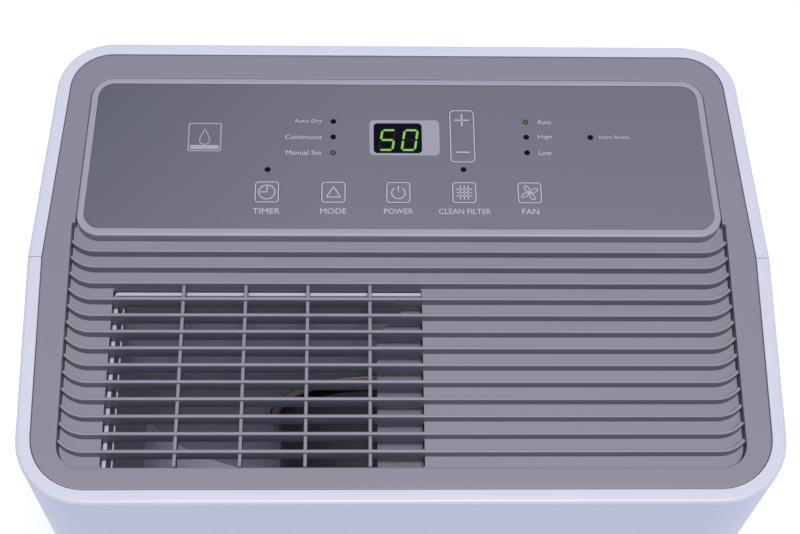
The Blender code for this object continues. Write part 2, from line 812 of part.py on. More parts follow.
def drip_tray():
    """The tray under both coils, with a channel to a spout over the bucket."""
    low, high = DECK_HIGH + 0.0008, DECK_HIGH + 0.018
    tray = block("drip_tray", (-0.1545, 0.1545), (0.057, 0.125), (low, high))
    channel = block("channel", (-0.020, 0.020), (0.006, 0.060), (low, high - 0.008))
    spout = rod("spout", (0, 0.018, DECK_LOW - 0.008), (0, 0.018, low + 0.001), 0.009)
    hollow = block("tray_hollow", (-0.1525, 0.1525), (0.059, 0.123), (low + 0.002, high + SLACK))
    run = block("channel_hollow", (-0.018, 0.018), (0.008, 0.0605), (low + 0.002, high + SLACK))
    bore = rod("spout_bore", (0, 0.018, DECK_LOW - SLACK - 0.008), (0, 0.018, high), 0.006)
    join(tray, channel, spout)
    finish(cut(tray, hollow, run, bore), NATURAL, 30)


def compressor():
    """The welded compressor can on three rubber grommets."""
    radius = COMPRESSOR_RADIUS
    top = COMPRESSOR_TOP
    profile = [
        (0.0, top),
        (radius * 0.45, top - 0.003),
        (radius * 0.80, top - 0.013),
        (radius, top - 0.032),
        (radius, 0.085),
        (radius * 0.85, 0.070),
        (radius * 0.50, 0.064),
        (0.0, 0.063),
    ]
    can = settle(turned("compressor", profile, COMPRESSOR, sides=24))
    plate_low = GROMMET_TOP + GAP
    x, y = COMPRESSOR.x, COMPRESSOR.y
    foot = rod("foot", (x, y, plate_low), (x, y, 0.072), 0.030, 22)
    ears = []
    for i in range(3):
        turn = math.radians(-90 + 120 * i)
        at_x, at_y = x + FOOT_SPREAD * math.cos(turn), y + FOOT_SPREAD * math.sin(turn)
        ears.append(rod(f"ear_{i}", (at_x, at_y, plate_low), (at_x, at_y, plate_low + 0.003), EAR_RADIUS))
        low, high = (at_x, at_y, PAN_FLOOR + GAP), (at_x, at_y, GROMMET_TOP)
        finish(rod(f"compressor_grommet_{i + 1}", low, high, GROMMET_RADIUS, 20), RUBBER, 30)
    finish(join(can, foot, *ears), BLACK_PAINT, 30)


def tubes():
    """The copper tubes from the compressor through both coils, with the drier and the capillary."""
    end = COIL_HALF + 0.0016
    evaporator_y = sum(EVAPORATOR_Y) / 2
    condenser_y = sum(CONDENSER_Y) / 2
    x, y = COMPRESSOR.x, COMPRESSOR.y
    suction = [
        (x + COMPRESSOR_RADIUS + 0.0005, y, 0.160),
        (0.170, y, 0.160),
        (0.170, y, 0.262),
        (0.170, evaporator_y, 0.282),
        (0.170, evaporator_y, 0.340),
        (end, evaporator_y, 0.340),
    ]
    discharge = [
        (x, y, COMPRESSOR_TOP + 0.0005),
        (x, y, 0.252),
        (0.176, 0.068, 0.252),
        (0.176, condenser_y - 0.005, 0.330),
        (0.176, condenser_y, 0.520),
        (end, condenser_y, 0.520),
    ]
    drier_x, drier_y = 0.166, 0.091
    liquid = [
        (end, condenser_y, 0.350),
        (drier_x, condenser_y, 0.350),
        (drier_x, drier_y, 0.350),
        (drier_x, drier_y, 0.3995),
    ]
    capillary = [
        (drier_x, drier_y, 0.4605),
        (drier_x, drier_y, 0.500),
        (drier_x, evaporator_y, 0.500),
        (end, evaporator_y, 0.500),
    ]
    finish(wire("suction_tube", suction, 0.0035, 0.006), COPPER)
    finish(wire("discharge_tube", discharge, 0.0030, 0.006), COPPER)
    finish(wire("liquid_tube", liquid, 0.0025, 0.005), COPPER)
    finish(wire("capillary_tube", capillary, 0.0012, 0.005), COPPER)
    profile = [
        (0.0, 0.4600),
        (0.0035, 0.4600),
        (0.0080, 0.4520),
        (0.0080, 0.4080),
        (0.0035, 0.4000),
        (0.0, 0.4000),
    ]
    finish(turned("filter_drier", profile, (drier_x, drier_y, 0.0), sides=20), COPPER, 30)


def run_capacitor():
    """The motor capacitor beside the compressor."""
    low = PAN_FLOOR + GAP
    can = rod("run_capacitor", (*CAPACITOR, low), (*CAPACITOR, low + CAPACITOR_HIGH), CAPACITOR_RADIUS)
    finish(can, BARE_STEEL, 30)


# ---------------------------------------------------------------- base and bucket


def chassis():
    """The deck over the bucket and the wall behind it."""
    deck = prism("chassis", full_plan(WALL + 0.001), DECK_LOW, DECK_HIGH)
    wall = block("bay_wall", (-0.186, 0.186), BAY_WALL_Y, (PAN_EDGE + 0.0005, DECK_LOW + 0.001))
    join(deck, wall)
    spout = rod("spout_hole", (0, 0.018, DECK_LOW - SLACK), (0, 0.018, DECK_HIGH + SLACK), 0.0098)
    tube_slot = block("tube_slot", (0.157, 0.182), (0.056, 0.119), (DECK_LOW - SLACK, DECK_HIGH + SLACK))
    finish(cut(deck, spout, tube_slot), NATURAL, 30)


def base_pan():
    """The tray that the machine stands on, with a socket for each caster's stem."""
    pan = prism("base_pan", full_plan(WALL + 0.0004), PAN_UNDER, PAN_EDGE)
    cut(pan, prism("pan_hollow", full_plan(WALL + 0.003), PAN_FLOOR, PAN_EDGE + SLACK))
    corners = [(x, y) for x in (-CASTER_X, CASTER_X) for y in (-CASTER_Y, CASTER_Y)]
    bosses = [
        rod(f"boss_{i}", (x, y, PAN_FLOOR - 0.001), (x, y, 0.0545), 0.008, 14)
        for i, (x, y) in enumerate(corners)
    ]
    bores = [
        rod(f"socket_{i}", (x, y, PAN_UNDER - SLACK), (x, y, 0.0530), 0.0043, 12)
        for i, (x, y) in enumerate(corners)
    ]
    join(pan, *bosses)
    finish(cut(pan, *bores), DUCT, 30)


def bucket():
    """The water bucket, with lugs for the float and holes for its handle."""
    xs = (-BUCKET_HALF, BUCKET_HALF)
    low, high = BUCKET_Z
    tub = prism("bucket", rounded_box(xs, BUCKET_Y, BUCKET_CORNER), low, high)
    inner_plan = rounded_box(xs, BUCKET_Y, BUCKET_CORNER, -BUCKET_WALL)
    cut(tub, prism("bucket_hollow", inner_plan, low + BUCKET_WALL, high + SLACK))
    wall_inside = BUCKET_Y[1] - BUCKET_WALL
    lugs = [
        block(
            f"float_lug_{i}",
            (x, x + 0.003),
            (FLOAT_AXIS[0] - 0.006, wall_inside + 0.001),
            (FLOAT_AXIS[1] - 0.008, FLOAT_AXIS[1] + 0.006),
        )
        for i, x in enumerate((-0.130, -0.107))
    ]
    join(tub, *lugs)
    pin_hole = rod("float_hole", (-0.140, *FLOAT_AXIS), (-0.095, *FLOAT_AXIS), FLOAT_PIN + GAP, 16)
    side = BUCKET_HALF + SLACK
    pivots = rod("handle_holes", (-side, *HANDLE_AXIS), (side, *HANDLE_AXIS), HANDLE_WIRE + GAP, 16)
    finish(cut(tub, pin_hole, pivots), NATURAL, 30)


def bucket_handle():
    """A bent wire that lies on the bucket and turns up in the holes of its sides."""
    axis_y, axis_z = HANDLE_AXIS
    side = BUCKET_HALF + 0.0045
    bar_y, bar_z = 0.012, 0.2275
    route = [
        (-BUCKET_HALF + 0.005, axis_y, axis_z),
        (-side, axis_y, axis_z),
        (-side, bar_y, bar_z),
        (side, bar_y, bar_z),
        (side, axis_y, axis_z),
        (BUCKET_HALF - 0.005, axis_y, axis_z),
    ]
    handle = wire("bucket_handle", route, HANDLE_WIRE, 0.004)
    pivot(finish(handle, BARE_STEEL), (0.0, axis_y, axis_z))


def bucket_front():
    """The outer front of the bucket, with a finger pocket and the water-level window."""
    front, back = -DEPTH / 2, FRONT_PANEL_BACK
    outline = rounded_box((-FRONT_PANEL_HALF, FRONT_PANEL_HALF), FRONT_PANEL_Z, OPENING_CORNER)
    panel = prism("bucket_front", outline, front, back, "Y")
    pocket_plan = rounded_box(POCKET_X, POCKET_Z, 0.008, POCKET_WALL)
    pocket = prism("grip_box", pocket_plan, back - 0.001, POCKET_BACK + POCKET_WALL, "Y")
    hollow_plan = rounded_box(POCKET_X, POCKET_Z, 0.008)
    hollow = prism("grip_hollow", hollow_plan, front - SLACK, POCKET_BACK, "Y")
    window = prism("level_hole", rounded_box(LEVEL_X, LEVEL_Z, 0.010), front - SLACK, back + SLACK, "Y")
    join(panel, pocket)
    finish(cut(panel, hollow, window), WHITE, 30)
    lens = prism("level_window", rounded_box(LEVEL_X, LEVEL_Z, 0.010, -GAP), front, back, "Y")
    finish(lens, CLEAR, 30)


def float_arm():
    """A foam float on an arm, hung on a pin between the bucket's lugs."""
    axis_y, axis_z = FLOAT_AXIS
    pin = rod("float_arm", (-0.1335, axis_y, axis_z), (-0.1035, axis_y, axis_z), FLOAT_PIN, 16)
    arm = block("arm", (-0.1225, -0.1145), (-0.045, axis_y + 0.0015), (axis_z - 0.004, axis_z + 0.001))
    foam_plan = rounded_box((-0.145, -0.097), (-0.050, -0.012), 0.006)
    foam = prism("foam", foam_plan, axis_z - 0.034, axis_z - 0.003)
    pivot(finish(join(pin, arm, foam), FOAM, 30), (-0.1185, axis_y, axis_z))


def bucket_switch():
    """The switch under the deck that feels whether the bucket is in place."""
    body = block("bucket_switch", (-0.135, -0.105), (0.0195, 0.0325), (0.240, DECK_LOW - GAP))
    finish(body, NYLON)


# ---------------------------------------------------------------- rear


def intake():
    """The slotted intake panel in the rear window, and the net filter clipped behind it."""
    face = DEPTH / 2
    fit = 0.0004
    xs = (-WINDOW_HALF + fit, WINDOW_HALF - fit)
    zs = (WINDOW_Z[0] + fit, WINDOW_Z[1] - fit)
    panel = prism("intake_grille", rounded_box(xs, zs, OPENING_CORNER), face - 0.0035, face, "Y")
    slots_wide = xs[1] - xs[0] - 2 * SLOT_MARGIN - (SLOT_COLUMNS - 1) * SLOT_DIVIDER
    slot_wide = slots_wide / SLOT_COLUMNS
    pitch = (zs[1] - zs[0] - 2 * SLOT_MARGIN) / SLOT_ROWS
    slots = []
    for column in range(SLOT_COLUMNS):
        left = xs[0] + SLOT_MARGIN + column * (slot_wide + SLOT_DIVIDER)
        for row in range(SLOT_ROWS):
            low = zs[0] + SLOT_MARGIN + row * pitch + SLOT_BAR / 2
            slot_zs = (low, low + pitch - SLOT_BAR)
            slot_xs = (left, left + slot_wide)
            slots.append(block(f"slot_{column}_{row}", slot_xs, (face - SLACK, face + SLACK), slot_zs))
    finish(cut(panel, *slots), WHITE, 30)
    finish(block("air_filter", (-0.145, 0.145), (0.1290, 0.1312), (0.305, 0.555)), FILTER_NET)


def drain_and_cord():
    """The cap of the hose outlet and the bush that a cord would pass through."""
    face = DEPTH / 2
    x, z = DRAIN
    cap = rod("drain_cap", (x, face - 0.005, z), (x, face, z), DRAIN_RADIUS, 32)
    stem = rod("cap_stem", (x, face - 0.014, z), (x, face - 0.004, z), DRAIN_RADIUS - 0.003, 24)
    slot_xs, slot_zs = (x - 0.0075, x + 0.0075), (z - 0.0015, z + 0.0015)
    grip = block("cap_slot", slot_xs, (face - 0.002, face + SLACK), slot_zs)
    join(cap, stem)
    pivot(finish(cut(cap, grip), GREY, 30), (x, face, z))
    x, z = CORD
    bush = rod("cord_gland", (x, face - 0.012, z), (x, face, z), CORD_RADIUS, 32)
    bore = rod("cord_bore", (x, face - 0.012 - SLACK, z), (x, face + SLACK, z), 0.0038, 24)
    finish(cut(bush, bore), NYLON, 30)


# ---------------------------------------------------------------- casters


def caster_meshes():
    """The fork, wheel and axle of one caster, built round its swivel axis at X = Y = 0."""
    trail = CASTER_TRAIL
    low = CASTER_RADIUS
    inner = CASTER_WIDTH / 2 + 0.0006
    outer = inner + CHEEK
    cheek_high = FORK_UNDER + 0.0015
    cheek_outline = [
        (-0.009, cheek_high),
        (0.009, cheek_high),
        (trail + 0.005, low, 0.004),
        (trail - 0.002, low - 0.006, 0.003),
        (trail - 0.006, low, 0.003),
    ]
    fork = block("caster_fork", (-outer, outer), (-0.010, 0.010), (FORK_UNDER, FORK_TOP))
    cheeks = []
    for side in (-1, 1):
        span = sorted((side * inner, side * outer))
        cheeks.append(prism(f"cheek_{side}", rounded(cheek_outline, 3), *span, "X"))
    stem = rod("stem", (0, 0, FORK_TOP - 0.001), (0, 0, STEM_TOP), STEM_RADIUS, 12)
    hole = rod("fork_hole", (-SLACK, trail, low), (SLACK, trail, low), CASTER_AXLE + GAP, 14)
    join(fork, *cheeks, stem)
    finish(cut(fork, hole), NYLON, 30)
    half = CASTER_WIDTH / 2
    wheel = rod("caster_wheel", (-half, trail, low), (half, trail, low), CASTER_RADIUS, 32)
    bore = rod("wheel_bore", (-SLACK, trail, low), (SLACK, trail, low), CASTER_AXLE + GAP, 14)
    finish(cut(wheel, bore), NYLON, 30)
    wheel.data.transform(Matrix.Translation((0, -trail, -low)))
    axle = rod("caster_axle", (-outer, trail, low), (outer, trail, low), CASTER_AXLE, 14)
    finish(axle, BARE_STEEL, 30)
    meshes = [piece.data for piece in (fork, wheel, axle)]
    for piece in (fork, wheel, axle):
        bpy.data.objects.remove(piece)
    return meshes


def casters():
    """Four casters, each hung on an empty that stands on its swivel axis."""
    fork, wheel, axle = caster_meshes()
    places = {
        "front_left": (-CASTER_X, -CASTER_Y),
        "front_right": (CASTER_X, -CASTER_Y),
        "rear_left": (-CASTER_X, CASTER_Y),
        "rear_right": (CASTER_X, CASTER_Y),
    }
    for name, (x, y) in places.items():
        swivel = place(f"swivel_{name}", None, PARTS)
        swivel.location = (x, y, 0.0)
        for part, mesh in (("fork", fork), ("axle", axle), ("wheel", wheel)):
            piece = place(f"caster_{part}_{name}", mesh, PARTS)
            piece.parent = swivel
            if part == "wheel":
                piece.location = (0.0, CASTER_TRAIL, CASTER_RADIUS)


front_cover()
rear_cover()
side_grip("side_grip_left", -1)
side_grip("side_grip_right", 1)
top_cover()
discharge_grille()
control_panel()
keys()
control_board()
blower_housing()
blower_wheel()
fan_motor()
coil("evaporator_coil", EVAPORATOR_Y)
coil("condenser_coil", CONDENSER_Y)
drip_tray()
compressor()
tubes()
run_capacitor()
chassis()
base_pan()
bucket()
bucket_handle()
bucket_front()
float_arm()
bucket_switch()
intake()
drain_and_cord()
casters()
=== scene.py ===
# %% [markdown]
# # A portable dehumidifier
# The machine's working frame is already modelled as separate solids. This lesson gives it its
# fine outer surfaces, its printed panel and its materials, then lights it on a plain floor.
# Everything is in metres, with +Z up, and the front of the machine faces -Y.

# %% Load the frame
import math

import bmesh
import bpy
import numpy as np
from mathutils import Matrix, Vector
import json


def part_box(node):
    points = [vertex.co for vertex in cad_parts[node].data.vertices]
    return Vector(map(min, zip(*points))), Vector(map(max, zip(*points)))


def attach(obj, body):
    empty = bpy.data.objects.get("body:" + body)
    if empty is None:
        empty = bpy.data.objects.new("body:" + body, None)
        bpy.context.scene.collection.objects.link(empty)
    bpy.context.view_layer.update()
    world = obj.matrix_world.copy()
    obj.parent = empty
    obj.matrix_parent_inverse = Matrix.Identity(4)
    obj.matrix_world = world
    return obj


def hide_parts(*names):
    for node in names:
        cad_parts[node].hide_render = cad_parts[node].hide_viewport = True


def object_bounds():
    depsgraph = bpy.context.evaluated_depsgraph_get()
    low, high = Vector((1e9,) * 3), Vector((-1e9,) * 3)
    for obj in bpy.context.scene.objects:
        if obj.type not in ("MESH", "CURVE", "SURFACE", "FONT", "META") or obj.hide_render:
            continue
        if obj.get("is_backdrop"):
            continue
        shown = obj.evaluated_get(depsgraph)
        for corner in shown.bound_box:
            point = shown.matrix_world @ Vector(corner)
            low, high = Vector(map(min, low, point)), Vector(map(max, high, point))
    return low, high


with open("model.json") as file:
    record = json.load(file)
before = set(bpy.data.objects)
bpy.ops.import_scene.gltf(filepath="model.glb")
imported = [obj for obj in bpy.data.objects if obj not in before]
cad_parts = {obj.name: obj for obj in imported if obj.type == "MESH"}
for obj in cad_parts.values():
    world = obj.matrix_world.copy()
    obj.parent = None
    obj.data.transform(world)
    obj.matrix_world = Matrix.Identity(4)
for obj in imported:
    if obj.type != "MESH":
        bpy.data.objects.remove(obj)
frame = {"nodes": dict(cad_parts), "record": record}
cad_low, cad_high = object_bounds()
TOP = cad_high.z

# %% [markdown]
# ## Outlines
# Most pieces of a moulded cabinet are outlines with round corners, pushed inwards a little as
# they go up or down. So the first tool is a function that rounds the corners of an outline and
# always returns the same number of points. Then any two outlines of the same kind can be
# joined by a smooth skin, point to point.

# %% Rounded outlines
ARC = 10


def corner_arc(before, here, after, radius):
    """Points on the circle of this radius that touches both runs, spread evenly by angle.

    With u and v the unit directions to the neighbours and h half their angle, the centre lies
    at here + radius / sin(h) along their bisector, and the arc spans pi / 2 - h each way.
    """
    u = (before - here) / np.linalg.norm(before - here)
    v = (after - here) / np.linalg.norm(after - here)
    half = math.acos(np.clip(u @ v, -1, 1)) / 2
    middle = (u + v) / np.linalg.norm(u + v)
    side = (v - u) / np.linalg.norm(v - u)
    turn = np.linspace(-1, 1, ARC + 1)[:, None] * (math.pi / 2 - half)
    centre = here + middle * radius / math.sin(half)
    return centre + radius * (side * np.sin(turn) - middle * np.cos(turn))


def outline(corners, closed=True, run=6):
    """An outline of (x, y, radius) corners, with arcs at corners and even steps between them."""
    places = [np.array(c[:2], float) for c in corners]
    count = len(corners)
    arcs = []
    for i, corner in enumerate(corners):
        before, here, after = places[i - 1], places[i], places[(i + 1) % count]
        at_end = not closed and i in (0, count - 1)
        arcs.append(here[None] if at_end else corner_arc(before, here, after, max(corner[2], 1e-5)))
    steps = np.linspace(0, 1, run + 1)[1:-1, None]
    points = []
    for i, arc in enumerate(arcs):
        points.append(arc)
        if closed or i < count - 1:
            following = arcs[(i + 1) % count]
            points.append(arc[-1] + (following[0] - arc[-1]) * steps)
    return np.concatenate(points)


def rectangle(xs, ys, radius, inset=0.0):
    """A rectangle with round corners, counter-clockwise."""
    r = max(radius - inset, 1e-4)
    (x0, x1), (y0, y1) = ((low + inset, high - inset) for low, high in (xs, ys))
    return [(x0, y0, r), (x1, y0, r), (x1, y1, r), (x0, y1, r)]


print("an arc has", ARC + 1, "points")

# %% [markdown]
# ## Surfaces
# A surface is a grid of points P(u, v), worked out as whole arrays. `skin` turns a grid into
# quads. `stacked` puts outlines at many heights, which gives a wall, a lid or a rim with true
# rounded edges, and `carried`, `swept` and `turned` move one outline along, about or round.

# %% Surfaces from arrays
COLUMNS = {"X": [2, 0, 1], "Y": [0, 2, 1], "Z": [0, 1, 2]}


def skin(points, close_u=True, close_v=False, caps=False):
    """Quads over a grid P(u, v); caps add a face at the first and the last v."""
    nu, nv = points.shape[:2]
    index = np.arange(nu * nv).reshape(nu, nv)
    u = np.arange(nu if close_u else nu - 1)
    v = np.arange(nv if close_v else nv - 1)
    u0, v0 = np.meshgrid(u, v, indexing="ij")
    u1, v1 = (u0 + 1) % nu, (v0 + 1) % nv
    quads = np.stack([index[u0, v0], index[u1, v0], index[u1, v1], index[u0, v1]], -1)
    faces = quads.reshape(-1, 4).tolist()
    if caps and close_u:
        faces += [index[::-1, 0].tolist(), index[:, -1].tolist()]
    if caps and not close_u:
        faces += [index[0, :].tolist(), index[-1, ::-1].tolist()]
    return points.reshape(-1, 3), faces


def stacked(rings):
    """P(u, v) = (flat(v) at u, height(v)): a grid from flat outlines and their heights."""
    return np.stack([np.column_stack([flat, np.full(len(flat), z)]) for flat, z in rings], axis=1)


def carried(flat, places, axis="Z"):
    """P(u, v): one flat outline carried straight along an axis, with a face at both ends."""
    points, faces = skin(stacked([(flat, place) for place in places]), caps=True)
    return points[:, COLUMNS[axis]], faces


def swept(path, profile):
    """P(u, v) = path(u) + n(u) * a(v) + up * b(v), with n the path's left normal in the plane."""
    ahead = np.gradient(path, axis=0)
    ahead /= np.linalg.norm(ahead, axis=1)[:, None]
    normal = np.column_stack([-ahead[:, 1], ahead[:, 0]])
    flat = path[:, None, :] + normal[:, None, :] * profile[None, :, 0, None]
    up = np.broadcast_to(profile[None, :, 1, None], (*flat.shape[:2], 1))
    return skin(np.concatenate([flat, up], 2), close_u=False, close_v=True, caps=True)


def turned(profile, centre, axis="X", sides=48, hollow=False):
    """P(u, v) = centre + r(v) * (cos u, sin u) across the axis and a(v) along it.

    A hollow shape closes its profile on itself, and a full one gets a face at each end.
    """
    profile = np.array(profile, float)
    angle = np.linspace(0, 2 * math.pi, sides, endpoint=False)
    r, along = profile[None, :, 0], profile[None, :, 1] + 0 * angle[:, None]
    across = (r * np.cos(angle)[:, None], r * np.sin(angle)[:, None])
    order = {"X": (along, *across), "Y": (across[1], along, across[0])}[axis]
    return skin(np.stack(order, -1) + np.array(centre), close_v=hollow, caps=not hollow)


print("surface tools are ready")

# %% [markdown]
# A shell of points and faces is not yet an object. `object_of` joins shells into one mesh, turns
# its faces outwards and keeps the edges of sharp corners crisp. `carve` then cuts openings with
# a Boolean modifier, which is applied at once, so that only the result is left.

# %% Objects from shells

def placed(name, data):
    """A new object in the scene, at the origin."""
    made = bpy.data.objects.new(name, data)
    bpy.context.scene.collection.objects.link(made)
    return made


def smoothed(mesh, crease=32):
    """Smooth shading that stops where faces meet at more than this angle in degrees."""
    mesh.shade_smooth()
    mesh.set_sharp_from_angle(angle=math.radians(crease))


def final_mesh(thing):
    """The mesh that an object has once its modifiers or its letters are worked out."""
    bpy.context.view_layer.update()
    graph = bpy.context.evaluated_depsgraph_get()
    return bpy.data.meshes.new_from_object(thing.evaluated_get(graph))


def object_of(name, *shells):
    """One mesh object from several shells, with its faces turned outwards."""
    shape = bmesh.new()
    for points, faces in shells:
        mesh = bpy.data.meshes.new(name)
        mesh.from_pydata(np.asarray(points, float).tolist(), [], faces)
        shape.from_mesh(mesh)
        bpy.data.meshes.remove(mesh)
    bmesh.ops.remove_doubles(shape, verts=shape.verts, dist=1e-7)
    bmesh.ops.recalc_face_normals(shape, faces=shape.faces)
    mesh = bpy.data.meshes.new(name)
    shape.to_mesh(mesh)
    shape.free()
    smoothed(mesh)
    return placed(name, mesh)


def carve(target, *cutters):
    """Cuts each shell out of the target and leaves only the result."""
    for shell in cutters:
        tool = object_of("tool", shell)
        change = target.modifiers.new("Cut", "BOOLEAN")
        change.operation = "DIFFERENCE"
        change.object = tool
        result = final_mesh(target)
        target.modifiers.clear()
        target.data = result
        bpy.data.objects.remove(tool)
    smoothed(target.data)


print("objects can be made and carved")

# %% [markdown]
# ## Shader maths
# Materials are node graphs. A small class wraps a socket, so that an expression such as
# `0.4 + 0.1 * noise` adds its Math nodes by itself, and `node` makes every other kind.

# %% A small graph language


class Value:
    """A socket that can be used in arithmetic."""

    def __init__(self, graph, socket):
        self.graph = graph
        self.socket = socket

    def math(self, operation, first, second):
        return self.graph.node("ShaderNodeMath", {"operation": operation}, {0: first, 1: second})

    def __add__(self, other):
        return self.math("ADD", self, other)

    def __radd__(self, other):
        return self.math("ADD", other, self)

    def __sub__(self, other):
        return self.math("SUBTRACT", self, other)

    def __rsub__(self, other):
        return self.math("SUBTRACT", other, self)

    def __mul__(self, other):
        return self.math("MULTIPLY", self, other)

    def __rmul__(self, other):
        return self.math("MULTIPLY", other, self)

    def at_most(self, limit):
        return self.math("MINIMUM", self, limit)


class Graph:
    """A material under construction, with a Principled shader at its end."""

    def __init__(self, name, **settings):
        self.material = bpy.data.materials.new(name)
        self.material.use_nodes = True
        self.tree = self.material.node_tree
        self.shader = self.tree.nodes["Principled BSDF"]
        for key, value in settings.items():
            title = key.replace("_", " ").title().replace("Ior", "IOR")
            self.shader.inputs[title].default_value = value
        self.place = self.node("ShaderNodeTexCoord", {}, {}, "Object")

    def node(self, kind, settings, inputs, output=0):
        """A node of this kind: its settings first, then the values or links of its sockets."""
        made = self.tree.nodes.new(kind)
        for key, value in settings.items():
            setattr(made, key, value)
        for key, value in inputs.items():
            if isinstance(value, Value):
                self.tree.links.new(value.socket, made.inputs[key])
            else:
                made.inputs[key].default_value = value
        return Value(self, made.outputs[output])

    def noise(self, scale, detail=3.0, stretch=(1, 1, 1)):
        """Smooth random values, about 0.5 in the middle, on the piece's own coordinates."""
        spot = self.node("ShaderNodeMapping", {}, {"Vector": self.place, "Scale": stretch})
        return self.node("ShaderNodeTexNoise", {}, {"Vector": spot, "Scale": scale, "Detail": detail})

    def mix(self, factor, first, second):
        """A colour between two colours."""
        sockets = {0: factor, 6: first, 7: second}
        return self.node("ShaderNodeMix", {"data_type": "RGBA"}, sockets, 2)

    def feed(self, name, value):
        self.tree.links.new(value.socket, self.shader.inputs[name])

    def bump(self, height, distance, strength=1.0):
        """Lets a height move the shader's normal."""
        settings = {"Height": height, "Distance": distance, "Strength": strength}
        self.feed("Normal", self.node("ShaderNodeBump", {}, settings))


def shade(colour, factor):
    """A colour made lighter or darker, with its alpha of 1."""
    return (*[min(1.0, c * factor) for c in colour], 1.0)


def moulded(name, colour, rough, grain=1400.0, depth=0.00002, cloud=0.03, speckle=0.03, **settings):
    """Moulded plastic: a faint cloudiness, a fine spark-eroded grain, and gloss that varies."""
    g = Graph(name, roughness=rough, **settings)
    broad = g.noise(9.0, 2.0)
    fine = g.noise(grain, 2.0)
    base = g.mix(broad, shade(colour, 1 - cloud), shade(colour, 1 + cloud))
    g.feed("Base Color", g.mix(fine * speckle, base, shade(colour, 0.6)))
    g.feed("Roughness", rough - 0.06 + 0.08 * broad + 0.05 * fine)
    g.bump(fine, depth, 0.6)
    return g.material


print("materials can be written as sums")

# %% [markdown]
# ## The finishes
# The casing is white plastic with a cool tint, the cover is a mid grey with a fine spark
# texture, and the film on the control panel is darker and smoother. Each is the same recipe
# with its own grain, because they come out of moulds of the same sort.

# %% Plastics
WHITE = moulded("white_casing_plastic", (0.545, 0.55, 0.608), 0.36, 900, 1e-5, 0.015, 0.02)
GREY = moulded("grey_cover_plastic", (0.203, 0.188, 0.228), 0.46, 1500, 3e-5, 0.02, 0.10)
GRILLE_GREY = moulded("grille_plastic", (0.219, 0.204, 0.248), 0.46, 1500, 3e-5, 0.02, 0.10)
# Painted light: the panel's edging is a lighter grey than the cover, standing in for the light that its
# chamfered bezel catches.
EDGING_WITH_PAINTED_LIGHT = moulded("panel_edge_plastic_painted_light", (0.294, 0.283, 0.330), 0.38, 1500, 1e-5, 0.01, 0.04)
DUCT = moulded("duct_plastic", (0.445, 0.42, 0.525), 0.50, 700, 3e-5, 0.04, 0.06)
SHADE_GREY = moulded("plate_plastic", (0.114, 0.107, 0.136), 0.50, 900, 2e-5, 0.05, 0.08)
BROWN = moulded("wheel_plastic", (0.085, 0.060, 0.050), 0.42, 900, 2e-5, 0.10, 0.10)
RIM_BROWN = moulded("wheel_rim_plastic", (0.19, 0.155, 0.135), 0.42, 900, 2e-5, 0.12, 0.10)
DRUM_BROWN = moulded("motor_cover_plastic", (0.028, 0.021, 0.026), 0.50, 60, 2e-5, 0.30, 0.30)
NATURAL = moulded("natural_plastic", (0.62, 0.63, 0.62), 0.42, 700, 2e-5, 0.03, 0.03)
NYLON = moulded("black_nylon", (0.030, 0.030, 0.034), 0.48, 1100, 4e-5, 0.10, 0.20)
RUBBER = moulded("grommet_rubber", (0.022, 0.022, 0.023), 0.82, 800, 8e-5, 0.20, 0.25)
FOAM = moulded("float_foam", (0.70, 0.70, 0.66), 0.85, 500, 2e-4, 0.03, 0.20)


def film_with_painted_reflection():
    """The printed film: smooth, with faint hairlines, and a painted reflection that lightens it towards
    one corner.
    """
    g = Graph("overlay_film", roughness=0.34)
    lines = g.noise(60.0, 4.0, (0.4, 40.0, 1.0))
    x, y = (g.node("ShaderNodeSeparateXYZ", {}, {0: g.place}, axis) for axis in (0, 1))
    # Painted reflection: the film's colour lightens towards the right and the front, where the light's
    # reflection falls.
    rise = 0.77 + 3.7 * (x + 0.03).at_most(0.0) - 2.86 * (y - 0.06)
    tone = g.mix(rise, (0.084, 0.084, 0.1005, 1), (0.162, 0.158, 0.188, 1))
    g.feed("Base Color", g.mix(lines * 0.08, tone, (0.09, 0.09, 0.115, 1)))
    g.feed("Roughness", 0.30 + 0.06 * lines)
    return g.material


FILM_WITH_PAINTED_REFLECTION = film_with_painted_reflection()
INK = moulded("print_ink", (0.44, 0.43, 0.47), 0.45, 2000, 5e-6, 0.02, 0.05)
PALE_INK = moulded("pale_ink", (0.33, 0.32, 0.37), 0.45, 2000, 5e-6, 0.02, 0.05)
SURROUND = moulded("display_surround_ink", (0.29, 0.28, 0.33), 0.36, 2000, 5e-6, 0.02, 0.05)
DULL = {"specular_ior_level": 0.12}
DOT_INK = moulded("dot_window", (0.003, 0.003, 0.005), 0.3, 2000, 5e-6, 0.05, 0.05, **DULL)


def lamp_finish(name, colour, strength):
    """A lit lamp: an even glow with a slightly brighter grain."""
    g = Graph(name, roughness=0.3, emission_strength=strength, base_color=(0.01, 0.02, 0.01, 1))
    grain = g.noise(900.0, 2.0)
    g.feed("Emission Color", g.mix(grain, shade(colour, 0.85), shade(colour, 1.0)))
    return g.material


GREEN = lamp_finish("green_digits", (0.44, 1.0, 0.12), 0.60)
GREEN_DOT = lamp_finish("green_lamp", (0.06, 0.60, 0.04), 0.26)
UNLIT = moulded("unlit_digits", (0.008, 0.011, 0.009), 0.3, 900, 5e-6, 0.1, 0.1, **DULL)
LENS = moulded("display_lens", (0.003, 0.003, 0.006), 0.14, 1500, 2e-6, 0.1, 0.1, **DULL)
print("plastics made")
